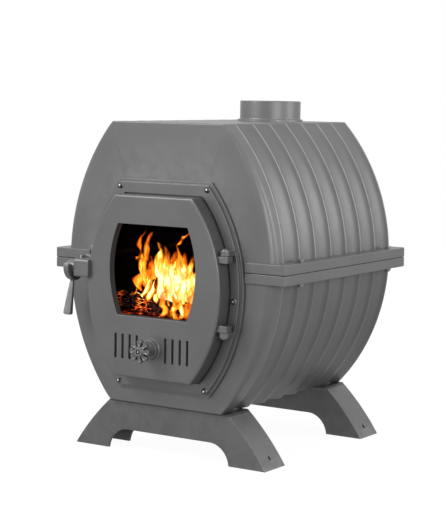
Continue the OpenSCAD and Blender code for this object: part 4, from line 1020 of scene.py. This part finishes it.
def make_door(paint):
    """Door: a dished casting with its window, air slots, air boss, latch boss and hinge lugs."""
    c = Casting()
    front, face, back, lug_r = -DOOR_PROUD, -42, -DOOR_BACK, 11
    side = rounded([(DOOR_WALL, face), (DOOR_WALL, back), (0, back), (0, front), (9, front)],
                   {1: 1.0, 2: 1.2, 3: 4.5}, 7)
    shell = c.rings(door_loop, side, DOOR_Z)
    # The window's opening ends inside in a rim, on which the glass lies
    rim, rim_back, rim_front = -12, -31.5, -36.5
    sill = rounded([(-1.6, front), (0, front), (0, rim_back), (rim, rim_back), (rim, rim_front),
                    (-5, rim_front), (-5, face)], {1: 1.1, 2: 0.6, 3: 0.8, 4: 0.8})
    openings = [c.rings(window_loop, sill, WINDOW_Z)]
    first_slot, slot_pitch = 34.4, 17.4
    edge = [(0.8, front), (0.25, front + 0.15), (0.0, front + 0.8), (0.0, face)]
    for s in (-1, 1):
        for i in range(4):
            openings.append(c.rings(slot_loop, edge, AIR_Z, s * (first_slot + slot_pitch * i)))
    c.sheet([shell[-1]] + [rings[0] for rings in openings])
    c.sheet([shell[0]] + [rings[-1] for rings in openings])
    parts = [c.mesh("door_plate")]
    bore, boss_r, foot_r, root, end = 4.06, 20, 22, -44, -58
    boss = rounded([(bore, root), (bore, end), (boss_r, end), (boss_r, -49.6), (foot_r, -47.6),
                    (foot_r, root)], {2: 1.5, 3: 1.2}, 5)
    parts.append(evened(turned("air_boss", boss, (0, 0, AIR_Z), axis="Y", around=80, ring=True)))
    half, outer_x, inner_x = 18, -188, -151
    boss = rounded([(-half, -half), (half, -half), (half, half), (-half, half)], {0: 5, 1: 5, 2: 5, 3: 5}, 5)
    boss = [(LATCH_Y + y, LATCH_Z + z) for y, z in boss]
    parts.append(eased(plate("latch_boss", boss, outer_x, inner_x, axis="X"), 1.6, 3))
    root, tip = math.sqrt(DOOR_R ** 2 - HINGE_OFF ** 2) - DOOR_CX - 3.5, HINGE_X + lug_r
    low, high = HINGE_Y - lug_r, HINGE_Y + lug_r
    lug = rounded([(root, low), (tip, low), (tip, high), (root, high)], {1: 3.0, 2: 3.0}, 6)
    for s in (-1, 1):
        z = DOOR_Z + s * HINGE_OFF
        parts.append(eased(plate("lug", lug, z - LUG_T / 2, z + LUG_T / 2), 1.1, 3))
    stud_r, root, end = 5, -43, -26
    stud = rounded([(0, root), (stud_r, root), (stud_r, end), (0, end)], {2: 0.8})
    parts += [evened(turned("stud", stud, place, axis="Y", around=28)) for place in clip_places(0)]
    piece("door_casting", joined("door_casting", parts), paint, "door_leaf", "body_iron", "door")


# ---- fasteners ----

# Head radius (of a hexagon, half the width across its flats), head height and shank radius
HEX_8, NUT_8, HEX_6 = (6.5, 5.5, 4), (6.5, 6.5, 4), (5, 4, 3)
FRAME_HEAD, SMALL_HEAD, PIN_HEAD, PIVOT_HEAD = (6.5, 4, 3), (4.5, 3, 2.5), (7.5, 4, 4), (8.5, 5, 5)
# Flange bolts on the right (x, y), leg bolts, the ring of the collar bolts, and seats of other heads
FLANGE_BOLTS = ((264, 77), (264, 437), (110, 482))
LEG_BOLT_X, LEG_BOLT_Z, LEG_NUT_Z, COLLAR_BOLT_RING = 70, 116, 97, 72.5
KEEPER_FACE_Y, CLIP_FACE_Y, KNOB_FACE_Y = -15.3, -24, -88


def seats(name, places, facing):
    """Points for the fasteners, with the way their heads face."""
    mesh = mesh_of(name, places, [])
    told(mesh, "facing", facing if isinstance(facing, list) else [facing] * len(places), vectors=True)
    return mesh


def make_fasteners(paint, steel, dark, head):
    domed, hexed = fastener_shape("Domed screws", 0), fastener_shape("Hexagon bolts", 6)
    hex_corner = 1 / math.cos(math.radians(30))
    front, rear, up, down = (0, -1, 0), (0, 1, 0), (0, 0, 1), (0, 0, -1)

    def fit(shape, node, places, facing, material, sizes, shank, body="stove", slot="steel"):
        wide, height, thin = sizes
        mesh = shape.applied(seats(node, places, facing), Head_Height=height * MM, Shank_Radius=thin * MM,
                             Head_Radius=wide * MM * (hex_corner if shape is hexed else 1),
                             Shank_Length=shank * MM, Chamfer=0.9 * MM, Material=material)
        piece(node + "_set", shaded(mesh, 35), material, body, slot, node)

    x, wide, high = FRAME[1] / 2 - 4, FRAME[0] / 2 - 18, FRAME[2] / 2 - 14
    places = [(s * x, -FRAME_PROUD, DOOR_Z + t * high) for s in (-1, 1) for t in (-1, 1)]
    places += [(s * wide, -FRAME_PROUD, DOOR_Z - 15) for s in (-1, 1)]
    fit(domed, "frame_screws", places, front, head, FRAME_HEAD, 20)

    reach = SEAL_HALF + FLANGE_T
    for node, z, facing, sizes, shank in (("flange_bolts", SPLIT + reach, up, HEX_8, 48.5),
                                          ("flange_nuts", SPLIT - reach, down, NUT_8, 1)):
        places = [(s * x, y, z) for s in (-1, 1) for x, y in FLANGE_BOLTS]
        fit(hexed, node, places, facing, paint, sizes, shank, slot="painted_bolts")
    for node, z, facing, sizes, shank in (("leg_bolts", LEG_BOLT_Z, up, HEX_8, 27.5),
                                          ("leg_nuts", LEG_NUT_Z, down, NUT_8, 1)):
        places = [(s * LEG_BOLT_X, y + LEG_DEPTH / 2, z) for s in (-1, 1) for y in LEG_PLACES]
        fit(hexed, node, places, facing, steel, sizes, shank)
    turns = [math.radians(a) for a in (45, 135, 225, 315)]
    places = [(COLLAR_BOLT_RING * math.cos(a), COLLAR_Y + COLLAR_BOLT_RING * math.sin(a), COLLAR_FOOT)
              for a in turns]
    fit(hexed, "flue_collar_bolts", places, down, steel, HEX_6, 13)

    pin = EAR_OFF + EAR_T / 2
    places = [(HINGE_X, HINGE_Y, DOOR_Z + s * pin) for s in (1, -1)]
    fit(domed, "hinge_pins", places, [up, down], dark, PIN_HEAD, 24.3)
    low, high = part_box("keeper_screws")
    x, z = (low.x + high.x) / 2 / MM, LATCH_Z + 18 * math.sin(math.radians(45))
    places = [(x, KEEPER_FACE_Y, z + 8), (x, KEEPER_FACE_Y, z + 22)]
    fit(domed, "keeper_screws", places, front, dark, SMALL_HEAD, 12.8)
    fit(domed, "clip_screws", clip_places(CLIP_FACE_Y), rear, steel, SMALL_HEAD, 21, "door_leaf")
    fit(domed, "knob_screw", [(0, KNOB_FACE_Y, AIR_Z)], front, head, SMALL_HEAD, 11, "air_control")
    low, high = (corner.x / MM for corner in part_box("latch_pivot"))
    low += PIVOT_HEAD[1]
    places = [(low, LATCH_Y, LATCH_Z)]
    fit(domed, "latch_pivot", places, (-1, 0, 0), steel, PIVOT_HEAD, high - low, "door_leaf")


def make_rope(rope):
    """The door's rope, in the frame's groove, under the middle of the door's wall."""
    depth = -FRAME_PROUD + 3.05
    points = [(x, depth, DOOR_Z + z) for x, z in barrel_loop(DOOR, 60, 30, DOOR_WALL / 2)]
    path = mesh_of("rope_path", points, [], [(i, (i + 1) % len(points)) for i in range(len(points))])
    done = rope_shape().applied(path, Half_Width=5.9 * MM, Half_Thickness=3.0 * MM, Knit_Depth=0.35 * MM,
                                Stitch_Length=5.0 * MM, Stations=900, Material=rope)
    piece("door_rope_knit", shaded(done, 70), rope, "stove", "seal", "door_rope")


def make_handle(steel):
    """Cone-shaped latch handle with rounded ends, hung a little outward."""
    hub_x, lean, start, length = -199.8, math.radians(9), -29.5, 70.0
    profile = [(0.0, start), (4.5, start), (10.0, start - length), (0.0, start - length)]
    mesh = turned("latch_handle_cone", rounded(profile, {1: 0.8, 2: 3.0}, 6), (0, LATCH_Y, 0), around=64)
    mesh.transform(Matrix.Translation((hub_x * MM, 0, LATCH_Z * MM)) @ Matrix.Rotation(lean, 4, "Y"))
    piece("latch_handle_cone", shaded(mesh), steel, "latch", "steel", "latch_handle")


def make_knob(paint):
    """Air knob: eight rounded petals with a groove between each two, a hub and a neck."""
    petals, across, groove = 8, 13, 1.1
    tip_from, tip_run, dish_depth, dish_r, dish_reach = 18, 4.6, 2.6, 15.0, 5.2
    # Half thickness at each distance from the axis
    section = ((6.0, 4.8), (9.0, 5.6), (11.0, 5.8), (13.0, 5.9), (15.0, 5.9), (17.0, 5.8), (19.0, 5.5),
               (20.8, 4.7), (21.9, 3.2), (22.4, 0.0))
    points = []
    for side in (1, -1):
        for r, t in section:
            narrow = 1.0 if r < tip_from else math.sqrt(max(0.0, 1 - ((r - tip_from) / tip_run) ** 2))
            spread = max((math.pi / petals - groove / r) * narrow, 0.06)
            for j in range(across):
                u = -1 + 2 * j / (across - 1)
                dish = max(0.0, 1 - (u / 0.72) ** 2) * max(0.0, 1 - ((r - dish_r) / dish_reach) ** 2)
                fall = t * math.sqrt(max(0.0, 1 - (u * u) ** 2.2)) - (dish_depth * dish if side == 1 else 0.0)
                points.append((r * math.cos(u * spread), r * math.sin(u * spread), side * fall))
    n, back = len(section), len(section) * across
    faces = [quad[::-1] for quad in grid(n, across)] + grid(n, across, back)
    faces += [(j, j + 1, back + j + 1, back + j) for j in range(across - 1)]
    mesh = bpy.data.meshes.new("petal")
    mesh.from_pydata([tuple(v * MM for v in p) for p in points], [], faces)
    mesh = petal_shape().applied(cleaned(mesh, near=2e-6), Petals=petals, Material=paint)
    middle, face, root = -83, KNOB_FACE_Y, -58.3
    mesh.transform(Matrix.Translation(metres((0, middle, AIR_Z))) @ Matrix.Rotation(math.radians(90), 4, "X"))
    hub = rounded([(0, face), (4.6, face), (5.0, face - 0.2), (5.0, -91), (9, -91), (9.6, -88.5), (11, -87),
                   (11, -79), (9, -77), (9, root), (4.0, root), (4.0, -85), (0, -85)],
                  {4: 0.9, 5: 0.6, 7: 1.0})
    hub = turned("hub", hub, (0, 0, AIR_Z), axis="Y", around=48)
    mesh = shaded(joined("air_knob_petals", [mesh, hub]), 50)
    piece("air_knob_petals", mesh, paint, "air_control", "body_iron", "air_knob")


# ---- the fire seen through the glass ----

LOGS = (  # start, end, radius, and a number that makes each log's bark its own
    ((-172, 76, 303), (-2, 52, 286), 19, 1.0), ((-150, 250, 300), (130, 120, 300), 25, 2.7),
    ((-120, 120, 330), (96, 190, 322), 20, 5.1), ((-12, 50, 291), (150, 92, 299), 17, 7.3),
    ((-60, 330, 299), (150, 240, 301), 24, 9.2))


def wave(*place):
    """A smooth random number for a place, the same each run."""
    return noise.noise(Vector(place))


def log_mesh(start, end, radius, seed):
    """A split log with uneven bark and broken ends."""
    rings, around = 46, 36
    a, b = Vector(start), Vector(end)
    side = (b - a).normalized().cross(Vector((0, 0, 1))).normalized()
    lift = side.cross((b - a).normalized())
    points = []
    for i in range(rings):
        t = i / (rings - 1)
        end_fall = min(1.0, math.sqrt(max(0.0, 1 - (abs(2 * t - 1)) ** 24)))
        for k in range(around):
            w = 2 * math.pi * k / around
            c, s = math.cos(w), math.sin(w)
            facet = 1 - 0.10 * abs(math.sin(1.5 * w + seed))
            bark = 1 + 0.16 * wave(t * 9 + seed, c * 1.4, s * 1.4) + 0.07 * wave(t * 30, c * 7 + seed, s * 7)
            r = radius * facet * bark * max(end_fall, 0.02)
            points.append(a.lerp(b, t) + side * (r * c) + lift * (r * s))
    last = (rings - 1) * around
    ends = [tuple(range(around)), tuple(last + k for k in reversed(range(around)))]
    return shaded(cleaned(mesh_of("log", points, grid(rings, around, closed=True) + ends)), 60)


def ember_mesh():
    """Bed of coals on the grate."""
    nx, ny = 90, 70
    left, front, wide, deep = -165, 44, 330, 340
    points = []
    for v in (j / (ny - 1) for j in range(ny)):
        for u in (i / (nx - 1) for i in range(nx)):
            x, y = left + wide * u, front + deep * v
            rim = min(1.0, 6 * min(u, 1 - u, v, 1 - v))
            lump = abs(wave(x / 13, y / 13, 3.0)) + 0.5 * abs(wave(x / 6, y / 6, 8.0))
            heap = 10 * math.exp(-((x - 10) / 90) ** 2 - ((y - 190) / 90) ** 2)
            points.append((x, y, GRATE_Z + GAP + rim * (heap + 9 * lump)))
    last = (ny - 1) * nx
    edge = [*range(nx), *range(2 * nx - 1, ny * nx, nx), *range(last + nx - 2, last - 1, -1),
            *range(last - nx, 0, -nx)]
    return shaded(mesh_of("ember_bed", points, grid(ny, nx) + [tuple(reversed(edge))]), 70)


TONGUES = (  # depth, spine from root to tip in x and z, half widths along it, heat
    (60, ((-29, 279), (-44, 319), (-51, 374), (-65, 440)), (7.2, 24.5, 19.0, 1.2), 1.0),
    (80, ((-57, 285), (-50, 327), (-46, 370), (-61, 417)), (9.0, 26.0, 19.6, 1.8), 1.0),
    (70, ((-96, 324), (-105, 364), (-102, 395), (-88, 437)), (3.6, 13.0, 13.6, 1.2), 0.62),
    (75, ((-110, 392), (-117, 412), (-116, 428), (-101, 444)), (1.8, 6.0, 5.1, 0.9), 0.52),
    (65, ((6, 292), (-7, 331), (-15, 371), (-20, 418)), (9.0, 16.6, 11.8, 1.2), 0.92),
    (55, ((28, 295), (26, 335), (19, 367), (30, 418)), (9.0, 19.0, 14.5, 1.5), 0.88),
    (60, ((-14, 420), (-2, 428), (7, 439), (15, 453)), (1.2, 6.0, 6.0, 0.9), 0.48),
    (72, ((-127, 380), (-127, 388), (-124, 393), (-119, 401)), (1.2, 5.4, 4.5, 0.9), 0.52),
    (50, ((-129, 316), (-105, 318), (-90, 326), (-74, 361)), (0.6, 2.1, 2.4, 0.9), 1.0),
    (52, ((-92, 307), (-97, 318), (-80, 347), (-51, 393)), (1.2, 3.6, 3.0, 0.9), 1.0),
    (48, ((-104, 335), (-109, 327), (-116, 321), (-124, 315)), (0.6, 1.2, 1.2, 0.6), 0.9),
    (50, ((-74, 302), (-74, 317), (-65, 338), (-53, 362)), (3.0, 7.2, 6.0, 1.2), 1.0),
    (46, ((-53, 300), (-58, 314), (-55, 329), (-49, 345)), (1.8, 5.4, 4.2, 1.2), 1.0),
    (45, ((-32, 279), (-28, 293), (-25, 312), (-27, 342)), (3.6, 8.4, 7.2, 1.2), 0.8),
    (45, ((4, 299), (10, 318), (14, 335), (22, 360)), (6.2, 14.2, 12.0, 1.8), 1.0),
    (95, ((-129, 319), (-139, 334), (-129, 353), (-123, 371)), (6.0, 13.8, 10.8, 1.2), 0.34),
    (110, ((-48, 314), (-42, 340), (-36, 366), (-24, 397)), (12.0, 22.0, 16.6, 2.4), 0.58),
    (110, ((-111, 308), (-118, 339), (-112, 371), (-109, 399)), (9.0, 18.0, 13.8, 2.4), 0.45),
    (150, ((-95, 300), (-90, 335), (-98, 365), (-84, 400)), (14.0, 24.0, 17.0, 2.0), 0.6),
    (130, ((45, 300), (52, 335), (40, 360), (50, 395)), (12.0, 20.0, 15.0, 2.0), 0.7),
    (170, ((5, 300), (-4, 340), (8, 380), (-2, 425)), (14.0, 25.0, 18.0, 2.0), 0.85),
    (210, ((-40, 300), (-52, 335), (-38, 370), (-46, 405)), (12.0, 22.0, 15.0, 2.0), 0.7),
    (85, ((-30, 296), (-34, 340), (-24, 376), (-34, 415)), (20.0, 30.0, 20.0, 2.0), 0.95),
    (90, ((18, 292), (8, 330), (22, 362), (10, 398)), (22.0, 32.0, 20.0, 2.0), 1.0),
    (88, ((52, 300), (50, 332), (60, 366), (52, 402)), (16.0, 26.0, 18.0, 2.0), 0.9),
    (29, ((-30, 278), (-17, 290), (-27, 311), (-13, 346)), (9.0, 9.0, 7.0, 1.0), 0.5),
    (33, ((0, 270), (-6, 288), (5, 310), (-7, 352)), (15.0, 13.0, 10.0, 1.0), 0.55),
    (27, ((16, 277), (24, 294), (12, 318), (21, 349)), (8.0, 10.0, 8.0, 1.0), 0.75),
    (31, ((42, 272), (33, 292), (41, 316), (30, 345)), (16.0, 13.0, 9.0, 1.0), 0.6),
)


def through(p0, p1, p2, p3, u):
    """The smooth curve through p1 and p2, at a share u of the way between them."""
    return 0.5 * (2 * p1 + (p2 - p0) * u + (2 * p0 - 5 * p1 + 4 * p2 - p3) * u * u
                  + (3 * p1 - p0 - 3 * p2 + p3) * u ** 3)


def flame_mesh():
    """Tongues of flame over the logs: thin closed blades that curl and narrow to a tip."""
    points, faces, lick, heat = [], [], [], []
    steps, across = 46, 15
    for number, (depth, spine, widths, glow) in enumerate(TONGUES):
        a, b, c, d = (Vector(p) for p in spine)
        knots = [a * 2 - b, a, b, c, d, d * 2 - c]
        ends = [widths[0], *widths, widths[-1]]
        turn = math.radians(8 + 11 * math.sin(number * 2.3))
        for side in (-1, 1):
            quads = grid(steps + 1, across, len(points))
            faces += quads if side < 0 else [quad[::-1] for quad in quads]
            for t in (i / steps for i in range(steps + 1)):
                k = min(int(t * 3), 2)
                at = through(*knots[k:k + 4], t * 3 - k)
                width = max(through(*ends[k:k + 4], t * 3 - k), 0.3) * (1 + 0.16 * math.sin(9 * t + number))
                for v in (-1 + 2 * j / (across - 1) for j in range(across)):
                    thick = side * 0.16 * width * (1 - v * v) + 3.0 * math.sin(6 * t + number + v)
                    x = at.x + v * width * math.cos(turn) - thick * math.sin(turn)
                    y = depth + v * width * math.sin(turn) + thick * math.cos(turn)
                    sway, lift = (11 * (0.25 + t) * wave(x / 34 + s, at.y / 34 + s, depth / 20 + s)
                                  + 4.5 * (0.3 + t) * wave(x / 12 + s, at.y / 15 + s, depth / 9 + s)
                                  for s in (3.7, 41.3))
                    points.append((x + 1.3 * sway, y, at.y + 1.3 * lift))
                    lick.append((v, t))
                    heat.append((glow, number / 10))
    mesh = mesh_of("flames", points, faces)
    for name, values in (("lick", lick), ("heat", heat)):
        uv = mesh.uv_layers.new(name=name)
        for loop in mesh.loops:
            uv.data[loop.index].uv = values[loop.vertex_index]
    return shaded(cleaned(mesh, recalc=False), 80)


def make_fire():
    """Logs, coals and flames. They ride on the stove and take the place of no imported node."""
    wood = joined("burning_logs", [log_mesh(*log) for log in LOGS])
    for name, mesh, material in (("burning_logs", wood, charred_wood()),
                                 ("ember_coals", ember_mesh(), ember_bed()),
                                 ("flame_tongues", flame_mesh(), flame_light())):
        piece(name, mesh, material, "stove", "fire_iron")


# ---- studio ----

def white_seen(nodes, in_metal=1.0):
    """1 for the camera's rays and those through glass, a share of it in metal, and 0 for light on things."""
    path = nodes.node("ShaderNodeLightPath").outputs
    metal = nodes.times(path["Is Glossy Ray"], in_metal)
    return nodes.larger(path["Is Camera Ray"], nodes.larger(metal, path["Is Transmission Ray"]))


def make_floor():
    """White floor, seen by the camera and in metal and glass, that keeps the stove's shadow."""
    reach, z = 9000, -0.6
    floor = mesh_of("studio_floor", [(-reach, -reach, z), (reach, -reach, z), (reach, reach, z),
                                     (-reach, reach, z)], [(0, 1, 2, 3)])
    f = Finish("studio_white")
    light = f.node("ShaderNodeEmission", {"Strength": f.times(white_seen(f, 0.6), 0.95)}).outputs[0]
    grey = f.node("ShaderNodeBsdfDiffuse", {"Color": tinted(0.12)}).outputs[0]
    floor.materials.append(f.only(f.node("ShaderNodeAddShader", {0: grey, 1: light}).outputs[0]))
    draft(floor)


def make_light():
    """White all round where it is seen, a soft grey light from it, and four softboxes."""
    world = bpy.data.worlds.new("studio")
    bpy.context.scene.world = world
    world.use_nodes = True
    w = Nodes(world.node_tree)
    back = w.tree.nodes["Background"].inputs
    back["Color"].default_value = tinted(1.0)
    w.feed(back["Strength"], w.spread(white_seen(w), 0.0, 1.0, 0.42, 1.0))
    for name, place, aim, wide, tall, power in (
            ("key_front_left", (-1.5, -2.3, 2.15), (0.0, 0.0, 0.4), 1.2, 1.2, 45),
            ("fill_front_right", (2.4, -1.4, 1.1), (0.1, -0.1, 0.4), 0.6, 0.6, 14),
            ("side_right", (2.34, 1.1, 1.35), (0.2, 0.0, 0.42), 0.5, 1.6, 16),
            ("overhead", (0.2, 0.0, 2.8), (0.0, 0.0, 0.4), 1.6, 1.6, 3)):
        lamp = bpy.data.lights.new(name, "AREA")
        lamp.shape, lamp.size, lamp.size_y, lamp.energy = "RECTANGLE", wide, tall, power
        obj = linked(name, lamp)
        obj.location = place
        obj.rotation_euler = (Vector(aim) - Vector(place)).to_track_quat("-Z", "Y").to_euler()


def make_camera():
    """The photo's view: its place in metres, and its turns round, down and over in degrees."""
    camera = bpy.data.cameras.new("photo_view")
    camera.lens, camera.sensor_width, camera.sensor_fit = 113.53, 36.0, "AUTO"
    camera.clip_start, camera.clip_end = 0.1, 60.0
    place, turns = (1.8658, -2.8331, 0.7340), (33.32, 5.92, 0.89)
    a, e, roll = (math.radians(v) for v in turns)
    ahead = Vector((-math.sin(a) * math.cos(e), math.cos(a) * math.cos(e), -math.sin(e)))
    level = Vector((math.cos(a), math.sin(a), 0.0))
    above = level.cross(ahead)
    right = level * math.cos(roll) + above * math.sin(roll)
    above = above * math.cos(roll) - level * math.sin(roll)
    obj = linked("photo_view", camera)
    obj.matrix_world = Matrix.Translation(place) @ Matrix((right, above, -ahead)).transposed().to_4x4()
    bpy.context.scene.camera = obj
    bpy.context.scene.view_settings.view_transform = "Standard"


def make_stove():
    paint = heat_paint("heat_paint", leg_painted_shade)
    steel = turned_steel("turned_steel", (0.50, 0.50, 0.51), 0.30)
    make_shells(heat_paint("shell_paint", shell_soot_and_painted_light))
    make_collar(paint)
    make_castings(paint, fired_iron(), steel, black_sheet(), seal_board(), stove_glass())
    make_frame(paint)
    make_door(paint)
    make_fasteners(paint, steel, turned_steel("blued_steel", (0.24, 0.24, 0.245), 0.36), worn_screw())
    make_rope(knitted_rope())
    make_handle(turned_steel("worn_steel", (0.36, 0.36, 0.365), 0.38))
    make_knob(paint)
    make_fire()


make_stove()
make_floor()
make_light()
make_camera()
